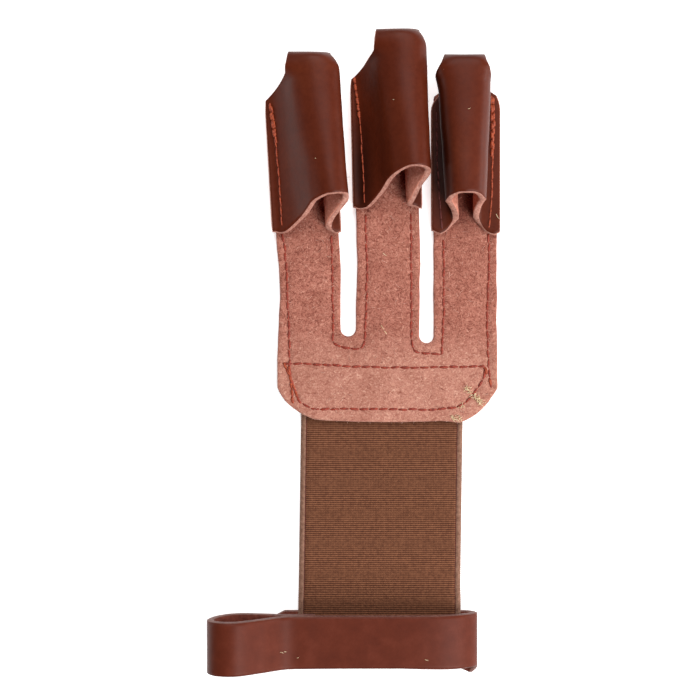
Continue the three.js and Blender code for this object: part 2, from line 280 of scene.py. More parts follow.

# %% [markdown]
# ### Smooth stall leather
# The stalls are full-grain cowhide, drum-dyed dark brown and lightly polished. That gives a deep
# red-brown with a soft sheen, a very fine pore grain and slow changes of tone where the dye took
# unevenly. Along the left feet of the middle and right stalls shade is painted darker, where the
# neighbouring stall shades them. Real pores are about 0.15 mm; they are drawn at 0.5 mm, or they wouldn't show.

# %% Stall leather material
PORE = 0.5
DYE_CLOUD = 14.0
# Painted shade ovals: centre and size in millimetres, and the darkest tone.
FOOT_SHADE_OVALS = [((-8.3, 49.0), (5.0, 24.0), "#96a0b4"), ((16.8, 50.0), (4.5, 26.0), "#a8a0a0")]
stall_leather = new_material("full_grain_cowhide_polished")
place = add_node(stall_leather, "ShaderNodeTexCoord")
pores = add_node(stall_leather, "ShaderNodeTexVoronoi", {"Scale": per_mm(PORE)},
                 {"Vector": (place, "Object")})
grain = add_node(stall_leather, "ShaderNodeTexNoise",
                 {"Scale": per_mm(PORE * 3), "Detail": 5.0, "Roughness": 0.6},
                 {"Vector": (place, "Object")})
dye = add_node(stall_leather, "ShaderNodeTexNoise",
               {"Scale": per_mm(DYE_CLOUD), "Detail": 3.0, "Roughness": 0.55, "Distortion": 0.4},
               {"Vector": (place, "Object")})
dye_tone = add_node(stall_leather, "ShaderNodeValToRGB", {}, {"Fac": (dye, "Fac")})
set_ramp(dye_tone, [(0.3, "#521e0e"), (0.55, "#572110"), (0.75, "#5d2613")])
grain_tone = add_node(stall_leather, "ShaderNodeValToRGB", {}, {"Fac": (grain, "Fac")})
set_ramp(grain_tone, [(0.35, "#f1edeb"), (0.6, "#ffffff")])
stall_tone = add_node(stall_leather, "ShaderNodeMix",
                      {"data_type": "RGBA", "blend_type": "MULTIPLY", 0: 1.0},
                      {6: (dye_tone, "Color"), 7: (grain_tone, "Color")})
# Painted shade on the left feet of the middle and right stalls, where the neighbouring stall shades them.
for centre, reach, dark in FOOT_SHADE_OVALS:
    stall_tone = painted_shade_oval(stall_leather, stall_tone, centre, reach, dark)
polish = add_node(stall_leather, "ShaderNodeMapRange",
                  {"From Min": 0.3, "From Max": 0.7, "To Min": 0.42, "To Max": 0.48},
                  {"Value": (grain, "Fac")})
pore_height = add_node(stall_leather, "ShaderNodeBump", {"Strength": 0.12, "Distance": 0.08 * MM},
                       {"Height": (pores, "Distance")})
stall_shader = add_node(stall_leather, "ShaderNodeBsdfPrincipled",
                        {"IOR": 1.5, "Specular IOR Level": 0.14},
                        {"Base Color": (stall_tone, 2), "Roughness": (polish, "Result"),
                         "Normal": (pore_height, "Normal")})
add_node(stall_leather, "ShaderNodeOutputMaterial", {}, {"Surface": (stall_shader, "BSDF")})
print("stall leather pores drawn at", PORE, "mm")

# %% [markdown]
# ### Flesh side and cut edge
# Inside the stalls the leather shows its undyed flesh side, a loose red-brown fibre with a dusty
# look. Its colour is painted lighter than the fibre, as painted light inside the stalls' mouths.
# The cut edge is the raw middle of the hide: pale pink, matt and slightly fibrous.

# %% Flesh side and cut edge materials
FIBRE_CLUMP = 1.1
flesh_side = new_material("hide_flesh_side")
place = add_node(flesh_side, "ShaderNodeTexCoord")
fibres = add_node(flesh_side, "ShaderNodeTexNoise",
                  {"Scale": per_mm(FIBRE_CLUMP), "Detail": 6.0, "Roughness": 0.7, "Distortion": 1.0},
                  {"Vector": (place, "Object")})
lit_flesh_tone = add_node(flesh_side, "ShaderNodeValToRGB", {}, {"Fac": (fibres, "Fac")})
# Painted light: these tones are lighter than the flesh side, to light the insides of the mouths.
set_ramp(lit_flesh_tone, [(0.3, "#b16752"), (0.55, "#d28b77"), (0.75, "#e8ae9a")])
fibre_height = add_node(flesh_side, "ShaderNodeBump", {"Strength": 0.4, "Distance": 0.2 * MM},
                        {"Height": (fibres, "Fac")})
flesh_shader = add_node(flesh_side, "ShaderNodeBsdfPrincipled",
                        {"Roughness": 0.92, "IOR": 1.45, "Specular IOR Level": 0.2},
                        {"Base Color": (lit_flesh_tone, "Color"), "Normal": (fibre_height, "Normal")})
add_node(flesh_side, "ShaderNodeOutputMaterial", {}, {"Surface": (flesh_shader, "BSDF")})

cut_edge = new_material("hide_cut_edge")
place = add_node(cut_edge, "ShaderNodeTexCoord")
edge_fibres = add_node(cut_edge, "ShaderNodeTexNoise",
                       {"Scale": per_mm(FIBRE_CLUMP) * 1.6, "Detail": 4.0, "Roughness": 0.6},
                       {"Vector": (place, "Object")})
edge_tone = add_node(cut_edge, "ShaderNodeValToRGB", {}, {"Fac": (edge_fibres, "Fac")})
set_ramp(edge_tone, [(0.32, "#8f5d50"), (0.5, "#ac7869"), (0.7, "#c09283")])
edge_height = add_node(cut_edge, "ShaderNodeBump", {"Strength": 0.35, "Distance": 0.15 * MM},
                       {"Height": (edge_fibres, "Fac")})
edge_shader = add_node(cut_edge, "ShaderNodeBsdfPrincipled",
                       {"Roughness": 0.85, "IOR": 1.45, "Specular IOR Level": 0.25},
                       {"Base Color": (edge_tone, "Color"), "Normal": (edge_height, "Normal")})
add_node(cut_edge, "ShaderNodeOutputMaterial", {}, {"Surface": (edge_shader, "BSDF")})
print("flesh side fibres:", FIBRE_CLUMP, "mm")

# %% [markdown]
# ### Strap leather
# The wrist strap is bridle-type leather: lighter, redder and duller than the stalls, with fine
# cloudy mottling and an edge that has been slicked to a greyish pink.

# %% Strap leather materials
STRAP_CLOUD = 5.0
strap_leather = new_material("bridle_leather_satin")
place = add_node(strap_leather, "ShaderNodeTexCoord")
strap_clouds = add_node(strap_leather, "ShaderNodeTexNoise",
                        {"Scale": per_mm(STRAP_CLOUD), "Detail": 7.0, "Roughness": 0.62},
                        {"Vector": (place, "Object")})
strap_tone = add_node(strap_leather, "ShaderNodeValToRGB", {}, {"Fac": (strap_clouds, "Fac")})
set_ramp(strap_tone, [(0.3, "#522114"), (0.52, "#592517"), (0.74, "#612b1d")])
strap_pores = add_node(strap_leather, "ShaderNodeTexVoronoi", {"Scale": per_mm(PORE)},
                       {"Vector": (place, "Object")})
strap_height = add_node(strap_leather, "ShaderNodeBump", {"Strength": 0.15, "Distance": 0.08 * MM},
                        {"Height": (strap_pores, "Distance")})
strap_shader = add_node(strap_leather, "ShaderNodeBsdfPrincipled",
                        {"Roughness": 0.46, "IOR": 1.5, "Specular IOR Level": 0.12},
                        {"Base Color": (strap_tone, "Color"), "Normal": (strap_height, "Normal")})
add_node(strap_leather, "ShaderNodeOutputMaterial", {}, {"Surface": (strap_shader, "BSDF")})

slicked_edge = new_material("bridle_leather_slicked_edge")
place = add_node(slicked_edge, "ShaderNodeTexCoord")
slick_fibres = add_node(slicked_edge, "ShaderNodeTexNoise",
                        {"Scale": per_mm(FIBRE_CLUMP), "Detail": 4.0}, {"Vector": (place, "Object")})
slick_tone = add_node(slicked_edge, "ShaderNodeValToRGB", {}, {"Fac": (slick_fibres, "Fac")})
set_ramp(slick_tone, [(0.32, "#582f26"), (0.7, "#744b40")])
slick_shader = add_node(slicked_edge, "ShaderNodeBsdfPrincipled",
                        {"Roughness": 0.6, "IOR": 1.5}, {"Base Color": (slick_tone, "Color")})
add_node(slicked_edge, "ShaderNodeOutputMaterial", {}, {"Surface": (slick_shader, "BSDF")})

strap_flesh = new_material("bridle_leather_flesh_side")
place = add_node(strap_flesh, "ShaderNodeTexCoord")
strap_fibres = add_node(strap_flesh, "ShaderNodeTexNoise",
                        {"Scale": per_mm(FIBRE_CLUMP), "Detail": 5.0, "Roughness": 0.65},
                        {"Vector": (place, "Object")})
strap_flesh_tone = add_node(strap_flesh, "ShaderNodeValToRGB", {}, {"Fac": (strap_fibres, "Fac")})
set_ramp(strap_flesh_tone, [(0.32, "#57261b"), (0.7, "#783c2e")])
strap_flesh_height = add_node(strap_flesh, "ShaderNodeBump", {"Strength": 0.3, "Distance": 0.15 * MM},
                              {"Height": (strap_fibres, "Fac")})
strap_flesh_shader = add_node(strap_flesh, "ShaderNodeBsdfPrincipled",
                              {"Roughness": 0.85, "IOR": 1.45, "Specular IOR Level": 0.25},
                              {"Base Color": (strap_flesh_tone, "Color"),
                               "Normal": (strap_flesh_height, "Normal")})
add_node(strap_flesh, "ShaderNodeOutputMaterial", {}, {"Surface": (strap_flesh_shader, "BSDF")})
print("strap mottling:", STRAP_CLOUD, "mm")

# %% [markdown]
# ### Ribbed elastic
# The band is woven elastic webbing: spun yarn covers rubber cords that run across it, so it shows
# fine ribs from side to side. The ribs are geometry; the material paints shade into the valleys
# between them and adds the warp threads, which are drawn twice as coarse as the real 0.4 mm.

# %% Elastic material
RIB_PITCH = 0.66
WARP_PITCH = 0.8
elastic_webbing = new_material("woven_elastic_webbing")
place = add_node(elastic_webbing, "ShaderNodeTexCoord")
parts = add_node(elastic_webbing, "ShaderNodeSeparateXYZ", {}, {"Vector": (place, "Object")})
rib_turn = add_node(elastic_webbing, "ShaderNodeMath",
                    {"operation": "MULTIPLY", 1: 2 * math.pi * per_mm(RIB_PITCH)}, {0: (parts, "Y")})
rib_wave = add_node(elastic_webbing, "ShaderNodeMath", {"operation": "COSINE"}, {0: (rib_turn, "Value")})
warp_turn = add_node(elastic_webbing, "ShaderNodeMath",
                     {"operation": "MULTIPLY", 1: 2 * math.pi * per_mm(WARP_PITCH)}, {0: (parts, "X")})
warp_wave = add_node(elastic_webbing, "ShaderNodeMath", {"operation": "COSINE"}, {0: (warp_turn, "Value")})
yarn = add_node(elastic_webbing, "ShaderNodeTexNoise",
                {"Scale": per_mm(0.9), "Detail": 3.0, "Roughness": 0.6}, {"Vector": (place, "Object")})
# Painted shade: the colour is darker in the valleys between the ribs.
rib_share = add_node(elastic_webbing, "ShaderNodeMath",
                     {"operation": "MULTIPLY_ADD", 1: 0.24, 2: 0.0}, {0: (rib_wave, "Value")})
warp_share = add_node(elastic_webbing, "ShaderNodeMath",
                      {"operation": "MULTIPLY_ADD", 1: 0.03}, {0: (warp_wave, "Value"), 2: (rib_share, "Value")})
yarn_share = add_node(elastic_webbing, "ShaderNodeMath", {"operation": "MULTIPLY_ADD", 1: 0.6},
                      {0: (yarn, "Fac"), 2: (warp_share, "Value")})
elastic_tone = add_node(elastic_webbing, "ShaderNodeValToRGB", {}, {"Fac": (yarn_share, "Value")})
set_ramp(elastic_tone, [(0.04, "#411f0d"), (0.3, "#5f341e"), (0.56, "#835439")])
elastic_shader = add_node(elastic_webbing, "ShaderNodeBsdfPrincipled",
                          {"Roughness": 0.85, "IOR": 1.45, "Specular IOR Level": 0.3,
                           "Sheen Weight": 0.1},
                          {"Base Color": (elastic_tone, "Color")})
add_node(elastic_webbing, "ShaderNodeOutputMaterial", {}, {"Surface": (elastic_shader, "BSDF")})


def plain_yarn(name, dark, light):
    """Spun yarn without ribs, for the woven side edges."""
    material = new_material(name)
    where = add_node(material, "ShaderNodeTexCoord")
    slubs = add_node(material, "ShaderNodeTexNoise", {"Scale": per_mm(0.9), "Detail": 3.0},
                     {"Vector": (where, "Object")})
    tone = add_node(material, "ShaderNodeValToRGB", {}, {"Fac": (slubs, "Fac")})
    set_ramp(tone, [(0.3, dark), (0.7, light)])
    shader = add_node(material, "ShaderNodeBsdfPrincipled", {"Roughness": 0.85, "IOR": 1.45},
                      {"Base Color": (tone, "Color")})
    add_node(material, "ShaderNodeOutputMaterial", {}, {"Surface": (shader, "BSDF")})
    return material


selvedge_yarn = plain_yarn("woven_selvedge_yarn", "#6a4736", "#8c6653")
groove_yarn = plain_yarn("woven_groove_yarn", "#3a1208", "#5c2214")
print("elastic ribs:", RIB_PITCH, "mm apart")

# %% [markdown]
# ### Sewing thread and loose fibres
# The seams are bonded polyester thread, rust coloured on the stalls. Where it lies sunk in the suede
# a darker copy of it carries painted shade. Loose fibres are cream fluff from the hide and the cutting table.

# %% Thread and fibre materials
THREAD_TWIST = 0.5


def thread_material(name, dark, light):
    """Bonded thread: two tones that follow the twist, with a slight waxy gloss."""
    material = new_material(name)
    where = add_node(material, "ShaderNodeTexCoord")
    twist = add_node(material, "ShaderNodeTexNoise",
                     {"Scale": per_mm(THREAD_TWIST), "Detail": 2.0}, {"Vector": (where, "Object")})
    tone = add_node(material, "ShaderNodeValToRGB", {}, {"Fac": (twist, "Fac")})
    set_ramp(tone, [(0.35, dark), (0.65, light)])
    shader = add_node(material, "ShaderNodeBsdfPrincipled", {"Roughness": 0.6, "IOR": 1.5},
                      {"Base Color": (tone, "Color")})
    add_node(material, "ShaderNodeOutputMaterial", {}, {"Surface": (shader, "BSDF")})
    return material


rust_thread = thread_material("bonded_polyester_rust", "#7c2a10", "#ad4a22")
fine_thread = thread_material("bonded_polyester_faded", "#7c2812", "#a8461f")
maroon_thread = thread_material("bonded_polyester_maroon", "#47120e", "#6e2a24")
# A darker copy of the rust thread: painted shade where the thread lies sunk in the suede. It also colours the dark nap
# fibres.
shaded_thread_and_dark_fibre = thread_material("bonded_polyester_shaded_and_dark_fibre", "#6e1d0d", "#9a351d")
cream_fibre = thread_material("loose_hide_fibre", "#d9b98c", "#f2dfba")
pale_fibre = thread_material("loose_suede_fibre", "#c9907c", "#e6b9a6")
print("materials:", len(bpy.data.materials))

# %% [markdown]
# ## Mesh helpers
# The pieces are meshes made in code: plain lists of corners and faces give full control over
# where each fold and edge goes. Three helpers are shared.

# %% Piece, curve and wall helpers
def make_piece(name, corners, faces, materials, slots, face_materials=None):
    """A smooth-shaded mesh from corners in millimetres, riding on the root."""
    mesh = bpy.data.meshes.new(name)
    mesh.from_pydata([tuple(c) for c in np.asarray(corners) * MM], [], faces)
    for material in materials:
        mesh.materials.append(material)
    if face_materials is not None:
        mesh.polygons.foreach_set("material_index", face_materials)
    piece = bpy.data.objects.new(name, mesh)
    bpy.context.collection.objects.link(piece)
    shaped = bmesh.new()
    shaped.from_mesh(mesh)
    bmesh.ops.recalc_face_normals(shaped, faces=shaped.faces)
    shaped.to_mesh(mesh)
    shaped.free()
    mesh.polygons.foreach_set("use_smooth", [True] * len(mesh.polygons))
    mesh.update()
    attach(piece, ROOT)
    if slots:
        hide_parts(*slots)
    print(name, len(mesh.polygons), "faces")
    return piece


def smooth_curve(points, count):
    """Evenly spaced points on a centripetal Catmull-Rom curve through the given points."""
    points = np.asarray(points, float)
    ends = [2 * points[0] - points[1], *points, 2 * points[-1] - points[-2]]
    dense = []
    steps = np.linspace(0, 1, 24, endpoint=False)
    for a, b, c, d in zip(ends, ends[1:], ends[2:], ends[3:]):
        before, here, after = [max(np.linalg.norm(q - p) ** 0.5, 1e-4) for p, q in ((a, b), (b, c), (c, d))]
        start = ((b - a) / before - (c - a) / (before + here) + (c - b) / here) * here
        end = ((c - b) / here - (d - b) / (here + after) + (d - c) / after) * here
        for t in steps:
            cubic = 2 * b - 2 * c + start + end
            square = -3 * b + 3 * c - 2 * start - end
            dense.append(b + start * t + square * t * t + cubic * t ** 3)
    dense.append(points[-1])
    dense = np.array(dense)
    lengths = np.concatenate([[0], np.cumsum(np.linalg.norm(np.diff(dense, axis=0), axis=1))])
    places = np.linspace(0, 1, count) if np.isscalar(count) else np.asarray(count)
    spots = [np.interp(places * lengths[-1], lengths, dense[:, k]) for k in range(dense.shape[1])]
    return np.stack(spots, axis=-1), lengths[-1]


EDGE_ROUNDING = 0.35
EDGE_RINGS = (0.1, 0.3, 0.5, 0.7, 0.9)


def leather_wall(outer, inner):
    """Corners, faces and face materials (0 outer, 1 inner, 2 cut edge) of a closed wall."""
    rows, columns = outer.shape[:2]
    corners = [*outer.reshape(-1, 3), *inner.reshape(-1, 3)]
    faces = []
    kinds = []
    for side in (0, 1):
        start = side * rows * columns
        for r in range(rows - 1):
            for c in range(columns - 1):
                a = start + r * columns + c
                faces.append((a, a + 1, a + columns + 1, a + columns))
                kinds.append(side)
    border = [(0, c) for c in range(columns)] + [(r, columns - 1) for r in range(1, rows)]
    border += [(rows - 1, c) for c in range(columns - 2, -1, -1)] + [(r, 0) for r in range(rows - 2, 0, -1)]
    rings = [[r * columns + c for r, c in border]]
    for share in EDGE_RINGS:
        ring = []
        for r, c in border:
            near_r = min(max(r, 1), rows - 2)
            near_c = min(max(c, 1), columns - 2)
            outward = outer[r, c] - outer[near_r, near_c]
            outward = outward / max(np.linalg.norm(outward), 1e-9)
            ring.append(len(corners))
            swell = EDGE_ROUNDING * math.sin(math.pi * share)
            corners.append(outer[r, c] * (1 - share) + inner[r, c] * share + outward * swell)
        rings.append(ring)
    rings.append([rows * columns + r * columns + c for r, c in border])
    for first, second in zip(rings, rings[1:]):
        for i in range(len(border)):
            j = (i + 1) % len(border)
            faces.append((first[i], first[j], second[j], second[i]))
            kinds.append(2)
    return corners, faces, kinds


def soft_noise(x, y, z, size, seed=0.0):
    """Slow natural unevenness from -1 to 1, with hills about this many millimetres apart."""
    return noise.noise(Vector((x / size + seed, y / size - seed, z / size)))


# %% [markdown]
# ## Hand panel
# The panel is one flat piece of suede, cut by hand with three finger strips. It could be an
# extruded outline, but then neither the step over the elastic, the seam channels nor the rounded
# edge could be shaped. So the outline is filled with a fine net of points, and each point takes
# its height from small rules: the step, the dents under the stitches and a slight waviness.

# %% Outline of the panel
CORNER_WIDTH = 12.0
CORNER_HEIGHT = 11.0
CORNER_PULL_IN = 0.27 * CORNER_WIDTH
CORNER_PULL_UP = 0.36 * CORNER_HEIGHT
BOTTOM_BOW = 0.9
SLOT_FLOORS = {-0.5: 0.07, 0.5: 0.146}
CUT_WAVE = 0.22


def strip_places(finger):
    """Heights along a strip, measured from where the strips begin to splay."""
    mouth = finger["mouth"] * SEAM_LENGTH
    seam_top = mouth + finger["seam"] * SEAM_LENGTH
    nose = seam_top + finger["reach"] * TIP_REACH - NOSE_DEPTH
    return mouth, seam_top, nose, nose - BUTT_RUN


def on_strip(finger, across, up):
    """A place on the panel from a place on a finger strip."""
    turn = math.radians(finger["splay"])
    return (finger["side"] * STRIP_PITCH + across * math.cos(turn) - up * math.sin(turn),
            SPLAY_START + across * math.sin(turn) + up * math.cos(turn))


def bow(a, pull, b, count=14):
    """Points on a quadratic curve from a to b, without b."""
    t = np.linspace(0, 1, count, endpoint=False)[:, None]
    a, pull, b = (np.array(p, float) for p in (a, pull, b))
    return list((1 - t) ** 2 * a + 2 * t * (1 - t) * pull + t * t * b)


half_panel = PANEL_WIDTH / 2
side_foot = CORNER_HEIGHT - PALM_DROP
bottom = BOTTOM_BOW - PALM_DROP
pull_y = CORNER_PULL_UP - PALM_DROP
outline = bow((CORNER_WIDTH - half_panel, bottom), (0, -BOTTOM_BOW - PALM_DROP), (half_panel - CORNER_WIDTH, bottom), 40)
outline += bow((half_panel - CORNER_WIDTH, bottom), (half_panel - CORNER_PULL_IN, pull_y), (half_panel, side_foot))
outline.append((half_panel, side_foot))
for name, finger in reversed(FINGERS.items()):
    mouth, seam_top, nose, strip_end = strip_places(finger)
    edge = STRIP_WIDTH / 2
    corners = [(edge, 0), (edge, seam_top), (TAB_WIDTH / 2, strip_end)]
    outline += [on_strip(finger, x, y) for x, y in corners]
    outline += [on_strip(finger, -x, y) for x, y in reversed(corners)]
    between = {"right": 0.5, "middle": -0.5}.get(name)
    if between is not None:
        floor = SLOT_WIDTH / 2 - SLOT_FLOORS[between] * PALM_DROP
        for angle in np.linspace(0, -math.pi, 17):
            outline.append((between * STRIP_PITCH + SLOT_WIDTH / 2 * math.cos(angle),
                            floor + SLOT_WIDTH / 2 * math.sin(angle)))
outline.append((-half_panel, side_foot))
outline += bow((-half_panel, side_foot), (CORNER_PULL_IN - half_panel, pull_y), (CORNER_WIDTH - half_panel, bottom))
outline = np.array([tuple(p) for p in outline])
keep = np.linalg.norm(outline - np.roll(outline, -1, axis=0), axis=1) > 0.01
outline = outline[keep]
print("panel outline:", len(outline), "corners")

# %% [markdown]
# The seams are read in the picture as rows of pixels. They are needed before the panel is
# filled, because each seam presses a shallow channel into the suede.

# %% Seams on the suede, in pixels of the picture
SUEDE_TOP = LEATHER
SUEDE_SEAMS = {
    "left_strip_outer": [(282, 233), (285, 248), (286.5, 275), (287.5, 300), (289, 345), (289.3, 365), (293, 405)],
    "left_slot": [(331, 235), (331.8, 250), (332.2, 285), (333, 310), (332.6, 338), (333.6, 343.6), (338.3, 346),
                  (345, 348.3), (356.7, 349.2), (361, 348), (364.2, 342.5), (365, 334), (366.3, 305),
                  (367, 270), (366.2, 240), (365, 210)],
    "right_slot": [(411, 213), (411.4, 260), (411.6, 310), (411.5, 344), (414, 351.5), (426.3, 353.7),
                   (434, 353.4), (441.7, 355), (442.4, 341), (443.2, 330), (443.8, 300), (444, 260), (443, 236)],
    "right_strip_outer": [(488.7, 233), (488.9, 260), (487.6, 300), (487, 334), (488.3, 345), (487.4, 352),
                          (488.6, 360), (488.6, 369), (489.6, 380), (491.4, 388)],
    "box": [(283, 363.3), (300, 363.6), (330, 365), (350, 366.5), (392, 367.4), (443, 367.2), (469, 366.6),
            (484, 366.2), (484.4, 376), (482.4, 380), (478, 387), (473, 395), (465.6, 402), (457.9, 407),
            (448, 408.5), (431, 409.8), (403.5, 409.4), (360, 408.9), (312, 409.2), (304, 405), (299.5, 401.5),
            (295, 391), (290, 376), (286, 368), (283, 363.3)],
}
SOFT_RAMP = 12.0
STITCH_CHANNEL = 0.28
CHANNEL_WIDTH = 0.55


def panel_rise(y):
    """How far the panel is lifted by the elastic under it. Leather bends more softly than the solid."""
    share = min(max((ELASTIC_TOP + LAYER_GAP + SOFT_RAMP - y) / SOFT_RAMP, 0), 1)
    return RAMP_RISE * share * share * (3 - 2 * share)


def resample(points, spacing):
    """Points at even spacing along a polyline."""
    points = np.asarray(points, float)
    lengths = np.concatenate([[0], np.cumsum(np.linalg.norm(np.diff(points, axis=0), axis=1))])
    count = max(int(round(lengths[-1] / spacing)), 1) + 1
    places = np.linspace(0, lengths[-1], count)
    return np.stack([np.interp(places, lengths, points[:, k]) for k in range(points.shape[1])], axis=-1)


seam_lines = {}
for name, pixels in SUEDE_SEAMS.items():
    line = np.array([from_picture(x, y, SUEDE_TOP) for x, y in pixels])
    for _ in range(2):
        heights = [SUEDE_TOP + panel_rise(y) for y in line[:, 1]]
        line = np.array([from_picture(x, y, h) for (x, y), h in zip(pixels, heights)])
    seam_lines[name] = resample(line, 0.8)
seam_points = np.concatenate([line[:, :2] for line in seam_lines.values()])
print("seams:", {name: round(0.8 * len(line)) for name, line in seam_lines.items()}, "mm")

# %% Fill the panel
OUTLINE_SPACING = 0.7
FILL_SPACING = 1.0
WAIST_IN = 0.7
WAIST_UP = 12.0
WAIST_SPREAD = 14.0
CORNER_SAG = 1.0
CORNER_SAG_AT = 25.0
EDGE_INSETS = [(0.12, 0.0), (0.0, 0.3), (0.0, 1.55), (0.12, 1.85), (0.45, 2.0)]
closed = np.vstack([outline, outline[:1]])
rim = resample(closed, OUTLINE_SPACING)[:-1]
for i, (x, y) in enumerate(rim):
    if x < 3 - half_panel:
        rim[i, 0] += WAIST_IN * math.exp(-((y - WAIST_UP) / WAIST_SPREAD) ** 2)
    if y < 7 - PALM_DROP:
        rim[i, 1] -= CORNER_SAG * math.exp(-((x - CORNER_SAG_AT) / 6) ** 2)
along = np.roll(rim, -1, axis=0) - np.roll(rim, 1, axis=0)
inward = np.stack([-along[:, 1], along[:, 0]], axis=1)
inward /= np.linalg.norm(inward, axis=1)[:, None]
wave = np.array([soft_noise(x, y, 0, 7.0) * CUT_WAVE for x, y in rim])
rim = rim + inward * wave[:, None]
fill_ring = rim + inward * EDGE_INSETS[-1][0]
low, high = rim.min(axis=0), rim.max(axis=0)
random.seed(11)
inside = []
for gx in np.arange(low[0], high[0], FILL_SPACING):
    for gy in np.arange(low[1], high[1], FILL_SPACING):
        x = gx + random.uniform(-0.2, 0.2)
        y = gy + random.uniform(-0.2, 0.2)
        if np.min(np.sum((rim - (x, y)) ** 2, axis=1)) < 1.1 ** 2:
            continue
        if np.min(np.sum((seam_points - (x, y)) ** 2, axis=1)) < 1.0 ** 2:
            continue
        inside.append((x, y))
for name, line in seam_lines.items():
    run = np.roll(line[:, :2], -1, axis=0) - np.roll(line[:, :2], 1, axis=0)
    run[[0, -1]] = run[[1, -2]]
    aside = np.stack([-run[:, 1], run[:, 0]], axis=1) / np.linalg.norm(run, axis=1)[:, None]
    for shift in (-CHANNEL_WIDTH, 0, CHANNEL_WIDTH):
        for x, y in line[:, :2] + aside * shift:
            if np.min(np.sum((rim - (x, y)) ** 2, axis=1)) > 0.9 ** 2:
                inside.append((x, y))
ring_count = len(fill_ring)
flat_points = [Vector(p) for p in fill_ring] + [Vector(p) for p in inside]
ring_edges = [(i, (i + 1) % ring_count) for i in range(ring_count)]
net_points, _, net_faces, origin, _, _ = geometry.delaunay_2d_cdt(flat_points, ring_edges, [], 1, 1e-5)
print("panel net:", len(net_points), "points,", len(net_faces), "triangles")

# %% Give the panel its thickness and surface
PANEL_WAVE = 0.16
NAP_ROUGHNESS = 0.05


def near_seam(x, y):
    """1 on a seam, falling to 0 beside it."""
    distance = math.sqrt(np.min(np.sum((seam_points - (x, y)) ** 2, axis=1)))
    return math.exp(-(distance / CHANNEL_WIDTH) ** 2)


def panel_top(x, y, dent=True):
    """Height of the suede surface at a place on the panel."""
    height = LEATHER + panel_rise(y) + PANEL_WAVE * soft_noise(x, y, 0, 9.0, 3.1)
    height += NAP_ROUGHNESS * soft_noise(x, y, 0, 1.1, 7.7)
    return height - (STITCH_CHANNEL * near_seam(x, y) if dent else 0)


corners = []
faces = []
kinds = []
top_start = 0
for p in net_points:
    corners.append((p.x, p.y, panel_top(p.x, p.y)))
under_start = len(corners)
for p in net_points:
    corners.append((p.x, p.y, panel_rise(p.y)))
for face in net_faces:
    faces.append(tuple(face))
    kinds.append(0)
    faces.append(tuple(under_start + i for i in reversed(face)))
    kinds.append(1)
ring_of = {}
for i, sources in enumerate(origin):
    for source in sources:
        if source < ring_count:
            ring_of[source] = i
top_ring = [ring_of[i] for i in range(ring_count)]
rings = [[under_start + i for i in top_ring]]
for inset, level in EDGE_INSETS[:-1]:
    ring = []
    for i in range(ring_count):
        x, y = rim[i] + inward[i] * inset
        ring.append(len(corners))
        corners.append((x, y, panel_rise(y) + level))
    rings.append(ring)
rings.append(top_ring)
for level, (first, second) in enumerate(zip(rings, rings[1:])):
    for i in range(ring_count):
        j = (i + 1) % ring_count
        faces.append((first[i], first[j], second[j], second[i]))
        kinds.append(1 if level == 0 else 0 if level >= 3 else 2)
suede_edge = suede.copy()
suede_edge.name = "split_suede_cut_edge"
hand_panel = make_piece("hand_panel_suede", corners, faces, [suede, stall_leather, suede_edge],
                        ["hand_panel"], kinds)

# %% [markdown]
# ## Finger stalls
# Each stall is a strip of leather bent into a tube, sewn to the panel along two flat flanges and
# folded over at the tip. A bent tube could be lofted from circles, but the real one is pinched at
# its foot, flops to one side and ends in a flat fold. So each stall is a grid of points: rows of
# the same cross-section curve as the CAD source, from the scooped mouth over the nose to the
# strip, drawn about twice as fine, and a second grid two millimetres inside it.

# %% Cross-sections of a stall
SECTION_NAMES = ["neck_left", "wall_left", "wall_left_up", "crown", "wall_right", "wall_right_up",
                 "neck_right", "bulge_left", "bulge_right", "height"]
UPRIGHT = np.array([[-0.37, -0.61, 0.5, -0.1, 0.51, 0.5, 0.37, 0.72, 0.72, 1.0],
                    [-0.52, -0.86, 0.52, -0.1, 0.67, 0.52, 0.42, 0.74, 0.74, 1.0]])
LEANING = np.array([[-0.66, -0.14, 0.35, 0.8, 1.31, 0.64, 0.74, 0.56, 0.72, 1.0],
                    [-0.78, -0.46, 0.33, 0.5, 1.25, 0.62, 0.66, 0.62, 0.72, 0.84]])
HALF_STALL = STALL_WIDTH / 2
CROWN_RISE = STALL_HEIGHT - FLANGE_TOP
BEND = LEATHER / 2


def section_points(lean, station):
    """Control points of a stall's outer face in cross-section, left flange to right flange."""
    row = dict(zip(SECTION_NAMES, UPRIGHT[station] * (1 - lean) + LEANING[station] * lean))

    def spot(across, up):
        return (across * HALF_STALL, FLANGE_TOP + up * CROWN_RISE * row["height"])

    def shoulder(wall, wall_up, bulge):
        return spot(row["crown"] + (wall - row["crown"]) * bulge, wall_up + (1 - wall_up) * bulge)

    return [
        spot(-1, 0),
        spot(row["neck_left"] - 2 * BEND / HALF_STALL, 0),
        spot(row["neck_left"], BEND / CROWN_RISE),
        spot(row["wall_left"], row["wall_left_up"]),
        shoulder(row["wall_left"], row["wall_left_up"], row["bulge_left"]),
        spot(row["crown"], 1),
        shoulder(row["wall_right"], row["wall_right_up"], row["bulge_right"]),
        spot(row["wall_right"], row["wall_right_up"]),
        spot(row["neck_right"], BEND / CROWN_RISE),
        spot(row["neck_right"] + 2 * BEND / HALF_STALL, 0),
        spot(1, 0),
    ]


print("crown rises", round(CROWN_RISE, 1), "mm above the flanges")

# %% Outer and inner face of a stall
STALL_COLUMNS = 72
TUBE_ROWS = 34
SHOULDER_ROWS = 10
NOSE_ROWS = 20
BUTT_GAP = 0.05
NOSE_BLUNT = 4.2
NOSE_TRIM = 0.7
DIAGONAL_END = 0.8
SPLAY_REACH = 0.37
NOSE_SQUARENESS = (0.6, 1.0)
FOLD_SAG = 0.8
FLAT_RUN = 4.5
CORNER_TAKE = 6.8
SWELL_END = 0.6
UNDER_TUCK = 0.5
LEATHER_WAVE = 0.14


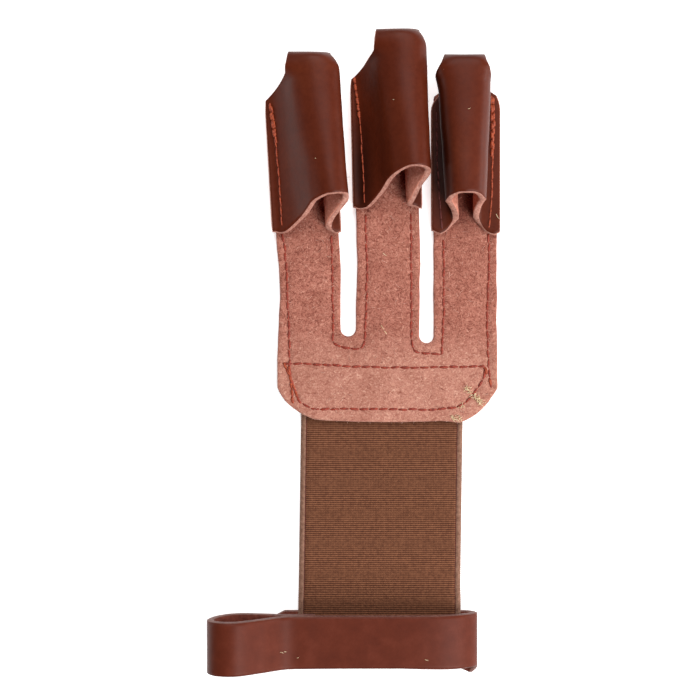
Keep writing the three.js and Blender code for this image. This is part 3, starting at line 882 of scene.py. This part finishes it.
MOUTH_SCOOPS = {
    "left": [(-1, 1.4), (-0.95, 1.1), (-0.88, 0.6), (-0.8, 0.9), (-0.7, 2.2), (-0.6, 3.6), (-0.5, 5.0),
             (-0.4, 6.5), (-0.25, 9.1), (-0.15, 10.0), (0, 10.9), (0.2, 11.1), (0.36, 11.0), (0.43, 9.2),
             (0.6, 6.6), (0.75, 4.2), (0.83, 2.2), (0.88, 0.4), (0.95, -0.5), (1, 0.2)],
    "middle": [(-1, 1.0), (-0.95, 0.3), (-0.85, 0.3), (-0.8, 0.5), (-0.7, 2.2), (-0.6, 4.1), (-0.5, 6.2),
               (-0.42, 8.0), (-0.3, 9.6), (-0.15, 11.1), (0, 12.1), (0.15, 12.1), (0.3, 11.5), (0.37, 11.0),
               (0.45, 9.5), (0.6, 7.0), (0.68, 5.1), (0.76, 2.4), (0.83, 1.1), (0.9, 0.8), (1, 0.0)],
    "right": [(-1, 1.5), (-0.95, 0.7), (-0.88, 0.2), (-0.8, 1.3), (-0.7, 4.4), (-0.62, 7.6), (-0.5, 9.5),
              (-0.35, 9.9), (-0.25, 11.0), (-0.1, 12.0), (0.1, 12.1), (0.2, 11.6), (0.3, 10.4), (0.5, 10.2),
              (0.6, 8.8), (0.7, 4.8), (0.8, 1.2), (0.88, 0.2), (0.95, 0.0), (1, 1.0)],
}
CORNER_RUN = 5.0


def stall_face(finger):
    """Grid of points on a stall's outer face, from the scooped mouth over the nose."""
    mouth, seam_top, nose, strip_end = strip_places(finger)
    nose += NOSE_DEPTH - NOSE_BLUNT - NOSE_TRIM
    across = np.linspace(-1, 1, STALL_COLUMNS + 1)
    mouth_curve = section_points(finger["lean"], 0)
    tip_curve = section_points(finger["lean"], 1)
    scoop = np.interp(across, *zip(*MOUTH_SCOOPS[finger["name"]]))
    scoop = np.convolve(np.pad(scoop, 1, mode="edge"), (0.25, 0.5, 0.25), mode="valid")
    corner_left, corner_right = finger["corner_cut"]
    rows = []
    for share in np.linspace(0, 1, TUBE_ROWS + 1):
        start = mouth + scoop
        y = start + (seam_top - start) * share
        station = ((y - mouth) / (seam_top - mouth))[:, None]
        corner = np.clip((y - seam_top + CORNER_RUN) / CORNER_RUN, 0, 1) ** 2
        places = corner_left * corner + (across + 1) / 2 * (1 - (corner_left + corner_right) * corner)
        at_mouth, _ = smooth_curve(mouth_curve, places)
        at_tip, _ = smooth_curve(tip_curve, places)
        point = at_mouth * (1 - station) + at_tip * station
        rows.append(np.stack([point[:, 0], y, point[:, 1]], axis=1))
    cut_left, cut_right = finger["nose_cut"]
    swell_left, swell_right = finger["nose_swell"]
    swell = across * np.where(across < 0, swell_left, swell_right)
    start, _ = smooth_curve(tip_curve, cut_left + (across + 1) / 2 * (1 - cut_left - cut_right))
    start_x = start[:, 0] + swell
    fold_height = start[:, 1].max() - FOLD_SAG * across ** 2
    side_share = (across + 1) / 2
    flatness = finger["flatness"][0] * (1 - side_share) + finger["flatness"][1] * side_share
    centre = (start[:, 1] * (1 - flatness) + fold_height * flatness) / 2
    fold_left, fold_right = finger["fold"]
    fold_x = (fold_left + fold_right) / 2 + across * (fold_right - fold_left) / 2
    catch_up = (STALL_HEIGHT / 2 - centre) * SPLAY_REACH
    blunt = (NOSE_BLUNT + catch_up - finger["slant"] * across
             - finger["round_off"] * np.clip(across, 0, 1) ** 5)
    roundness = np.where(across < 0, finger["roundness"][0], finger["roundness"][1])

    def corners_taken(x, y):
        """The places x at height y, drawn in toward the fold where the nose's corners are cut."""
        taken = np.clip((y - nose - blunt + CORNER_TAKE) / CORNER_TAKE, 0, 1) ** roundness
        return x + (fold_x - x) * taken

    for share in np.linspace(0, 1, SHOULDER_ROWS + 1)[1:]:
        cut = min(share / DIAGONAL_END, 1)
        here_left = corner_left + (cut_left - corner_left) * cut
        here_right = corner_right + (cut_right - corner_right) * cut
        places = here_left + (across + 1) / 2 * (1 - here_left - here_right)
        point, _ = smooth_curve(tip_curve, places)
        y = np.full_like(across, seam_top + (nose - seam_top) * share)
        x = corners_taken(point[:, 0] + swell * min(share / SWELL_END, 1), y)
        flat = flatness * np.clip((y - nose + FLAT_RUN) / FLAT_RUN, 0, 1) ** 1.5
        rows.append(np.stack([x, y, point[:, 1] * (1 - flat) + fold_height * flat], axis=1))
    for share in np.linspace(0, 1, NOSE_ROWS + 1)[1:]:
        angle = math.pi * (0.5 - share)
        squareness = NOSE_SQUARENESS[0] if share <= 0.5 else NOSE_SQUARENESS[1]
        y = nose + blunt * abs(math.cos(angle)) ** squareness
        z = centre + centre * math.copysign(abs(math.sin(angle)) ** squareness, math.sin(angle))
        if share <= 0.5:
            x = corners_taken(start_x, y)
        else:
            x = fold_x - UNDER_TUCK * (2 * share - 1) * (finger["lean"] - (1 - finger["lean"]) * across)
        rows.append(np.stack([x, y, z], axis=1))
    last = np.stack([across * TAB_WIDTH / 2, np.full_like(across, strip_end + BUTT_GAP),
                     np.zeros_like(across)], axis=1)
    rows += [(rows[-1] + last) / 2, last]
    return np.array(rows)


def grid_normals(face):
    """Unit normals of a grid of points, pointing into the stall."""
    padded = np.pad(face, ((1, 1), (1, 1), (0, 0)), mode="edge")
    down = padded[2:, 1:-1] - padded[:-2, 1:-1]
    along = padded[1:-1, 2:] - padded[1:-1, :-2]
    normal = np.cross(down, along)
    return normal / np.maximum(np.linalg.norm(normal, axis=2), 1e-9)[:, :, None]


def finger_stall(name, finger, seed):
    """One stall: outer grain face, inner flesh face and the cut edge between them."""
    outer = stall_face(finger)
    normals = grid_normals(outer)
    for r in range(outer.shape[0]):
        for c in range(outer.shape[1]):
            x, y, z = outer[r, c]
            free = min(max((z - FLANGE_TOP) / 4, 0), 1)
            outer[r, c] += normals[r, c] * LEATHER_WAVE * free * soft_noise(x, y, z, 8.0, seed)
    inner = outer + normals * LEATHER
    turn = math.radians(finger["splay"])
    matrix = np.array([[math.cos(turn), -math.sin(turn), 0], [math.sin(turn), math.cos(turn), 0], [0, 0, 1]])
    shift = np.array([finger["side"] * STRIP_PITCH, SPLAY_START, 0])
    outer = outer @ matrix.T + shift
    inner = inner @ matrix.T + shift
    corners, faces, kinds = leather_wall(outer, inner)
    return make_piece(f"stall_{name}", corners, faces, [stall_leather, flesh_side, cut_edge],
                      [f"finger_stall_{name}"], kinds)


stalls = {name: finger_stall(name, finger, 5.0 * i) for i, (name, finger) in enumerate(FINGERS.items())}

# %% [markdown]
# ## Elastic band
# The webbing lies flat, passes under the panel at the top and climbs onto the strap's back layer
# at the bottom. Cloth simulation would do nothing for a band that lies flat, so it is a grid:
# many short rows carry the ribs as real waves, and the side edges bulge a little at every other
# rib, as a woven selvedge does.

# %% Elastic band
ELASTIC_SHIFT = -1.4
ELASTIC_DRIFT = 1.3
ROWS_PER_RIB = 4
RIB_DEPTH = 0.16
SELVEDGE = 1.76
SELVEDGE_GROOVE = 0.3
ELASTIC_COLUMNS = 40
PICOT = 0.1
strap_lift = STRAP_LEATHER + LAYER_GAP
elastic_bottom = STRAP_TOP - ELASTIC_GRIP
climb = [(4, 0), (2.6, 0.12), (1.2, 0.88), (0, 1)]
band_line = [(ELASTIC_TOP, 0)]
band_line += [(STRAP_TOP + ELASTIC + run * strap_lift, rise * strap_lift) for run, rise in climb]
band_line += [(elastic_bottom, strap_lift)]
band = resample(band_line, RIB_PITCH / ROWS_PER_RIB)
band[1:-1, 1] = np.convolve(band[:, 1], np.ones(9) / 9, mode="same")[1:-1]
band[:6, 1] = 0
band[-6:, 1] = strap_lift
inner_across = np.linspace(-1, 1, ELASTIC_COLUMNS + 1) * (ELASTIC_WIDTH / 2 - SELVEDGE)
rim_across = ELASTIC_WIDTH / 2 - np.array([0.0, 0.15, 0.5, 0.95, 1.3, 1.6])
across = np.concatenate([-rim_across, inner_across, rim_across[::-1]])
top = []
under = []
for y, lift in band:
    drift = ELASTIC_DRIFT * (y - ELASTIC_TOP) / (ELASTIC_TOP - elastic_bottom)
    rib = 0.5 + 0.5 * math.cos(2 * math.pi * y / RIB_PITCH)
    picot = PICOT * math.cos(math.pi * y / RIB_PITCH)
    top_row = []
    under_row = []
    for x in across:
        from_edge = ELASTIC_WIDTH / 2 - abs(x)
        groove = SELVEDGE_GROOVE * math.exp(-((from_edge - 1.45) / 0.22) ** 2)
        round_off = 0.35 * math.exp(-(from_edge / 0.25) ** 2)
        rib_share = 1.0 if from_edge > SELVEDGE else 0.35
        dip = RIB_DEPTH * rib_share * (1 - rib) + groove + round_off
        wide = x + (math.copysign(picot, x) if from_edge < 0.2 else 0)
        centre = ELASTIC_SHIFT + drift + wide
        top_row.append((centre, y, lift + ELASTIC - dip))
        under_row.append((centre, y, lift + dip * 0.6))
    top.append(top_row)
    under.append(under_row)
corners, faces, kinds = leather_wall(np.array(top), np.array(under))
kinds = []
for face in faces:
    x, y = np.mean([corners[i][:2] for i in face], axis=0)
    drift = ELASTIC_DRIFT * (y - ELASTIC_TOP) / (ELASTIC_TOP - elastic_bottom)
    from_edge = ELASTIC_WIDTH / 2 - abs(x - ELASTIC_SHIFT - drift)
    kinds.append(0 if from_edge > 1.6 else 2 if from_edge > 1.3 else 1)
elastic_band = make_piece("elastic_webbing_band", corners, faces, [elastic_webbing, selvedge_yarn, groove_yarn],
                          ["elastic_band"], kinds)

# %% [markdown]
# ## Wrist strap
# One strap lies flat under the elastic, turns up at the right, comes back over it and is folded
# into a teardrop loop at the left. It keeps its width everywhere, so it is a ribbon swept along
# one curve, seen on edge, with the grain side out and the flesh side in.

# %% Wrist strap
STRAP_ROUTE = [
    (0.749, 0, 0), (0.43, 0, 0), (0.12, 0, 0), (0.075, 0, 0), (0.03, 0.03, 0), (0.0124, 0.115, 0),
    (0.03, 0.225, 0), (0.066, 0.32, 0), (0.125, 0.4, 0), (0.195, 0.435, 0), (0.28, 0.445, 0),
    (0.397, 0.447, 0), (0.622, 0.467, 0), (0.716, 0.51, 0),
    (0.806, 0.77, 0), (0.898, 1, 0), (0.965, 0.945, 0), (0.9876, 0.75, 0), (0.959, 0.45, 0),
    (0.896, 0.4, 1), (0.811, 0.42, 1), (0.716, 0.49, 1), (0.61, 0.46, 1),
]
TURN_ROOM = 5.8
STRAP_STEPS = 260
STRAP_COLUMNS = 16
LIP_FLARE = 3.0
LIP_SPAN = (26.6, 18.0)
FRONT_DROP = 0.5
FRONT_DROP_SPAN = (20.0, 4.0)
END_CUT = 1.1
END_CUT_RUN = 2.0
strap_right = ELASTIC_SHIFT - ELASTIC_DRIFT + ELASTIC_WIDTH / 2 + TURN_ROOM
strap_layer = STRAP_LEATHER + LAYER_GAP
route_points = [(strap_right - a * STRAP_SPAN,
                 STRAP_LEATHER / 2 + up * (FOLD_HEIGHT - STRAP_LEATHER) - below * strap_layer)
                for a, up, below in STRAP_ROUTE]
route, route_length = smooth_curve(route_points, STRAP_STEPS)
run = np.gradient(route, axis=0)
run /= np.linalg.norm(run, axis=1)[:, None]
aside = np.stack([-run[:, 1], run[:, 0]], axis=1)
grain_side = []
flesh_face = []
turn_at = int(np.argmax(route[:, 0]))
strap_end = route[0, 0]
for i, (x, z) in enumerate(route):
    rows = []
    if i <= turn_at:
        share = (x - LIP_SPAN[1]) / (LIP_SPAN[0] - LIP_SPAN[1])
        flare = LIP_FLARE * min(max(share, 0), 1) * min(max(2 - z / STRAP_LEATHER, 0), 1)
    elif i < turn_at + STRAP_STEPS / 3:
        share = (x - FRONT_DROP_SPAN[1]) / (FRONT_DROP_SPAN[0] - FRONT_DROP_SPAN[1])
        flare = FRONT_DROP * min(max(share, 0), 1) * min(max(z / (2 * STRAP_LEATHER) - 0.3, 0), 1)
    else:
        flare = 0
    cut = END_CUT * min(max(1 - (x - strap_end) / END_CUT_RUN, 0), 1) if i < turn_at else 0
    for side in (-1, 1):
        px, pz = route[i] + aside[i] * side * STRAP_LEATHER / 2
        shares = np.linspace(0, 1, STRAP_COLUMNS + 1)
        rows.append([(px, STRAP_TOP - cut - share * (STRAP_WIDTH + flare - cut), pz) for share in shares])
    grain_side.append(rows[0])
    flesh_face.append(rows[1])
corners, faces, kinds = leather_wall(np.array(grain_side), np.array(flesh_face))
wrist_strap = make_piece("wrist_strap_folded", corners, faces, [strap_leather, strap_flesh, slicked_edge],
                         ["wrist_strap"], kinds)
print("strap length along its fold:", round(route_length, 1), "mm")

# %% [markdown]
# ## Seams
# A line of thread drawn as one tube looks like a wire. Sewn thread is a row of short stitches
# that dive into the leather at both ends, so each stitch is its own little bent, tapered tube.
# A seeded random number gives each one a slight tilt, as hand-guided sewing has.

# %% Stitch helper
STITCH_SIDES = 6
STITCH_RINGS = 7


def stitch_row(line, normals, length, gap, radius, sink, wander, seed):
    """Corners and faces of a row of stitches along a 3-D line with surface normals."""
    random.seed(seed)
    lengths = np.concatenate([[0], np.cumsum(np.linalg.norm(np.diff(line, axis=0), axis=1))])
    corners = []
    faces = []
    start = 0.0
    while start + length - gap < lengths[-1]:
        tilt = [random.uniform(-wander, wander) for _ in range(2)]
        swell = random.uniform(0.88, 1.12)
        centres = []
        ups = []
        for share in np.linspace(0, 1, STITCH_RINGS):
            place = start + gap / 2 + (length - gap) * share
            centre = np.array([np.interp(place, lengths, line[:, k]) for k in range(3)])
            up = np.array([np.interp(place, lengths, normals[:, k]) for k in range(3)])
            ups.append(up / np.linalg.norm(up))
            centres.append(centre)
        chord = centres[-1] - centres[0]
        chord = chord / np.linalg.norm(chord)
        for i, share in enumerate(np.linspace(0, 1, STITCH_RINGS)):
            aside = np.cross(chord, ups[i])
            arch = math.sin(math.pi * share)
            thick = radius * swell * (0.62 + 0.38 * arch ** 0.5)
            lift = radius * (0.85 * arch ** 0.6 - 0.4) - sink
            middle = centres[i] + ups[i] * lift + aside * (tilt[0] * (1 - share) + tilt[1] * share)
            for k in range(STITCH_SIDES):
                angle = 2 * math.pi * k / STITCH_SIDES
                corners.append(middle + thick * (math.cos(angle) * aside + math.sin(angle) * ups[i]))
        base = len(corners) - STITCH_SIDES * STITCH_RINGS
        for ring in range(STITCH_RINGS - 1):
            for k in range(STITCH_SIDES):
                a = base + ring * STITCH_SIDES + k
                b = base + ring * STITCH_SIDES + (k + 1) % STITCH_SIDES
                faces.append((a, b, b + STITCH_SIDES, a + STITCH_SIDES))
        faces.append(tuple(base + k for k in reversed(range(STITCH_SIDES))))
        faces.append(tuple(base + (STITCH_RINGS - 1) * STITCH_SIDES + k for k in range(STITCH_SIDES)))
        start += length
    return corners, faces


def sewn_piece(name, rows, material):
    """Joins several rows of stitches into one piece."""
    corners = []
    faces = []
    for row_corners, row_faces in rows:
        shift = len(corners)
        corners += row_corners
        faces += [tuple(i + shift for i in face) for face in row_faces]
    return make_piece(name, corners, faces, [material], [])


# %% Seams on the suede
STITCH_LENGTH = 3.1
STITCH_GAP = 0.05
THREAD_RADIUS = 0.39
UP = np.array([0, 0, 1.0])
rows = []
for i, (name, line) in enumerate(seam_lines.items()):
    lifted = np.array([(x, y, panel_top(x, y)) for x, y in line[:, :2]])
    normals = np.tile(UP, (len(lifted), 1))
    rows.append(stitch_row(lifted, normals, STITCH_LENGTH, STITCH_GAP, THREAD_RADIUS, 0.05, 0.2, 20 + i))
# The suede seams use the darker copy of the thread, which carries painted shade.
sewn_piece("suede_seams", rows, shaded_thread_and_dark_fibre)

# %% Seams of the stalls
bpy.context.view_layer.update()
camera_place = Vector((CAMERA_X, CAMERA_Y, CAMERA_HEIGHT))


def seen_on(piece, x, y):
    """The place and normal on a piece that the picture shows at pixel x, y, or None."""
    toward = Vector(from_picture(x, y, 0.0)) - camera_place
    hit, where, normal, _ = piece.ray_cast(camera_place * MM, toward.normalized())
    if not hit:
        return None
    return np.array(where) / MM, np.array(normal)


STALL_SEAMS = {
    "left_backtack": ("left", rust_thread, 0.5, 2.8, [(269.8, 103), (272.8, 125), (276, 146)]),
    "left_backtack_return": ("left", rust_thread, 0.42, 2.4, [(271.3, 106), (274.2, 124), (277.2, 148)]),
    "left_outer": ("left", fine_thread, 0.27, 3.1, [(274.8, 138), (276, 146), (279, 180), (281, 210), (282.3, 231.5)]),
    "middle_backtack": ("middle", rust_thread, 0.5, 2.2, [(354, 77), (357, 98), (360, 121)]),
    "middle_outer": ("middle", fine_thread, 0.24, 3.1, [(359.3, 115), (360, 121), (362.5, 160), (365, 207)]),
    "right_inner": ("right", maroon_thread, 0.26, 3.1, [(436.5, 112), (437, 160), (440, 205), (442.5, 231)]),
    "right_backtack": ("right", rust_thread, 0.52, 2.8, [(491.4, 95.5), (492.0, 125), (491.9, 160)]),
    "right_backtack_return": ("right", rust_thread, 0.48, 2.4, [(493.0, 97), (493.6, 125), (492.6, 152)]),
    "right_outer": ("right", rust_thread, 0.3, 3.1, [(492.2, 150), (492.6, 160), (491.6, 195), (488.8, 231)]),
}
for i, (name, (stall, material, radius, length, pixels)) in enumerate(STALL_SEAMS.items()):
    spots = []
    normals = []
    for x, y in resample(pixels, 3.0):
        seen = seen_on(stalls[stall], x, y)
        if seen is not None and seen[1][2] > 0.5:
            spots.append(seen[0])
            normals.append(seen[1])
    rows = [stitch_row(np.array(spots), np.array(normals), length, 0.05, radius, 0.0, 0.12, 40 + i)]
    sewn_piece(f"stall_seam_{name}", rows, material)

# %% Tacks on the suede
SUEDE_TACKS = {
    "box_left": [(283.4, 362.5), (286.2, 368.5), (290.4, 377), (295.3, 392), (299.6, 401.5)],
    "strip_left": [(288.6, 366), (291, 385), (293.2, 404)],
    "box_right": [(485.6, 367), (486.7, 378)],
    "strip_right": [(489.2, 378), (491.2, 387.5)],
}
rows = []
for i, (name, pixels) in enumerate(SUEDE_TACKS.items()):
    spots = [seen_on(hand_panel, x, y) for x, y in resample(pixels, 3.0)]
    spots = [spot for spot in spots if spot is not None]
    rows.append(stitch_row(np.array([spot[0] for spot in spots]), np.array([spot[1] for spot in spots]),
                           2.4, 0.0, 0.45, 0.0, 0.2, 60 + i))
sewn_piece("suede_tacks", rows, fine_thread)

# %% [markdown]
# ## Loose fibres
# Cut suede always sheds. A few hundred short pale fibres lie on the nap and stick out at its
# edges, cream fluff is caught in the lower right corner, and a little lint lies on the stalls.
# Hair particles would not stay with the model, so each fibre is a tiny bent tube.

# %% Fibre helper
def loose_fibre(start, heading, length, curl, radius, rise):
    """Corners and faces of one curved fibre of three sides."""
    corners = []
    faces = []
    steps = 6
    x, y, z = start
    for i in range(steps):
        share = i / (steps - 1)
        thick = radius * (1 - 0.6 * share)
        for k in range(3):
            turn = 2 * math.pi * k / 3
            corners.append((x - math.sin(heading) * thick * math.cos(turn),
                            y + math.cos(heading) * thick * math.cos(turn),
                            z + thick * math.sin(turn)))
        x += math.cos(heading) * length / steps
        y += math.sin(heading) * length / steps
        z += rise * math.cos(math.pi * share) / steps * 3
        heading += curl / steps
    for i in range(steps - 1):
        for k in range(3):
            a = 3 * i + k
            b = 3 * i + (k + 1) % 3
            faces.append((a, b, b + 3, a + 3))
    faces.append((2, 1, 0))
    faces.append((3 * steps - 3, 3 * steps - 2, 3 * steps - 1))
    return corners, faces


# %% Fibres on the suede
NAP_FIBRES = 420
random.seed(5)
pale_rows = []
dark_rows = []
for i in range(NAP_FIBRES):
    point = net_points[random.randrange(len(net_points))]
    height = panel_top(point.x, point.y)
    fibre = loose_fibre((point.x, point.y, height + 0.04), random.uniform(0, 2 * math.pi), random.uniform(0.9, 2.6),
                        random.uniform(-2.2, 2.2), random.uniform(0.05, 0.085), random.uniform(0.0, 0.25))
    (pale_rows if i % 3 else dark_rows).append(fibre)
for i in range(0, ring_count, 5):
    x, y = rim[i]
    out = math.atan2(-inward[i][1], -inward[i][0]) + random.uniform(-0.9, 0.9)
    pale_rows.append(loose_fibre((x, y, panel_rise(y) + random.uniform(0.6, 1.7)), out, random.uniform(0.3, 0.9),
                                 random.uniform(-1.5, 1.5), 0.05, 0.0))
sewn_piece("suede_nap_fibres", pale_rows, pale_fibre)
sewn_piece("suede_dark_fibres", dark_rows, shaded_thread_and_dark_fibre)

# %% Cream fluff and lint
FLUFF = [(467, 388), (469, 391), (474, 394), (480, 400), (481, 403), (453, 417), (458, 418), (461, 405), (476, 398)]
TUFT_FIBRES = 9
random.seed(9)
fluff_rows = []
for x, y in FLUFF:
    seen = seen_on(hand_panel, x, y)
    if seen is None:
        continue
    for _ in range(TUFT_FIBRES):
        start = seen[0] + np.array([random.uniform(-0.5, 0.5), random.uniform(-0.5, 0.5), 0.1])
        fluff_rows.append(loose_fibre(start, random.uniform(0, 2 * math.pi), random.uniform(0.8, 2.0),
                                      random.uniform(-2.5, 2.5), 0.12, random.uniform(0.1, 0.5)))
LINT = {
    "panel_a": ("panel", (381, 325), -1.05, 3.4, 0.3),
    "panel_b": ("panel", (384, 331), -0.7, 2.4, -0.6),
    "panel_c": ("panel", (383, 253), -0.9, 2.0, 0.8),
    "middle": ("middle", (393, 99.6), 0.05, 2.8, -1.0),
    "left": ("left", (315, 158), -0.5, 1.0, 1.0),
    "right": ("right", (468, 109), 0.2, 1.0, 0.5),
    "right_flange": ("right", (496.3, 214), -1.3, 2.2, 0.8),
    "strap_a": ("strap", (280, 652.5), 0.3, 1.2, -1.5),
    "strap_b": ("strap", (284, 651.5), -0.4, 0.9, 1.0),
    "strap_c": ("strap", (297, 658), 0.2, 0.8, 0.6),
    "strap_d": ("strap", (425, 659.5), -0.5, 1.3, 0.8),
}
for name, (place_name, (x, y), heading, length, curl) in LINT.items():
    piece = {"panel": hand_panel, "strap": wrist_strap}.get(place_name) or stalls[place_name]
    seen = seen_on(piece, x, y)
    if seen is not None:
        fluff_rows.append(loose_fibre(seen[0] + seen[1] * 0.12, heading, length, curl, 0.12, 0.0))
sewn_piece("cream_fluff", fluff_rows, cream_fibre)

# %% [markdown]
# ## Table and light
# The photograph has a plain white ground, blown out by the light, with hardly any shadow. A wide
# pale table just under the glove, which glows faintly to lift the shadows, and four soft lamps give
# that: a large one high on the right, a low one on the right, a weaker one from the left and an
# even one overhead.

# %% Table
TABLE_SIZE = 3.0
table_mesh = bpy.data.meshes.new("pale_table")
half_table = TABLE_SIZE / 2
table_z = cad_box[0][2] - 0.0002
table_mesh.from_pydata([(-half_table, -half_table, table_z), (half_table, -half_table, table_z),
                        (half_table, half_table, table_z), (-half_table, half_table, table_z)], [], [(0, 1, 2, 3)])
glowing_table_finish = new_material("matt_white_table_glowing")
place = add_node(glowing_table_finish, "ShaderNodeTexCoord")
paper = add_node(glowing_table_finish, "ShaderNodeTexNoise", {"Scale": per_mm(30.0)}, {"Vector": (place, "Object")})
paper_tone = add_node(glowing_table_finish, "ShaderNodeValToRGB", {}, {"Fac": (paper, "Fac")})
set_ramp(paper_tone, [(0.3, "#f4f4f4"), (0.7, "#f6f6f6")])
# The table glows faintly: its emission lifts the shadows and lights the glove from below.
table_shader = add_node(glowing_table_finish, "ShaderNodeBsdfPrincipled",
                        {"Roughness": 0.9, "IOR": 1.45, "Specular IOR Level": 0.1,
                         "Emission Color": linear("#ffffff"), "Emission Strength": 0.62},
                        {"Base Color": (paper_tone, "Color")})
add_node(glowing_table_finish, "ShaderNodeOutputMaterial", {}, {"Surface": (table_shader, "BSDF")})
table_mesh.materials.append(glowing_table_finish)
table = bpy.data.objects.new("pale_table", table_mesh)
bpy.context.collection.objects.link(table)

# %% Lamps
LAMPS = {
    "key_front_right": ((0.50, -0.52, 0.62), 0.55, 10.6),
    "low_right": ((0.90, 0.05, 0.20), 0.22, 3.2),
    "top_window": ((0.06, 0.66, 0.88), 0.85, 10.4),
    "low_left": ((-0.90, 0.00, 0.10), 0.12, 1.1),
}
for name, (where, size, power) in LAMPS.items():
    lamp_data = bpy.data.lights.new(name, "AREA")
    lamp_data.shape = "SQUARE"
    lamp_data.size = size
    lamp_data.energy = power
    lamp = bpy.data.objects.new(name, lamp_data)
    lamp.location = where
    lamp.rotation_mode = "QUATERNION"
    lamp.rotation_quaternion = (-Vector(where)).to_track_quat("-Z", "Y")
    bpy.context.collection.objects.link(lamp)
world = bpy.data.worlds.new("studio_air")
world.use_nodes = True
world.node_tree.nodes["Background"].inputs["Color"].default_value = (1, 1, 1, 1)
world.node_tree.nodes["Background"].inputs["Strength"].default_value = 0.02
bpy.context.scene.world = world
bpy.context.scene.view_settings.view_transform = "Standard"
print("lamps:", ", ".join(LAMPS))
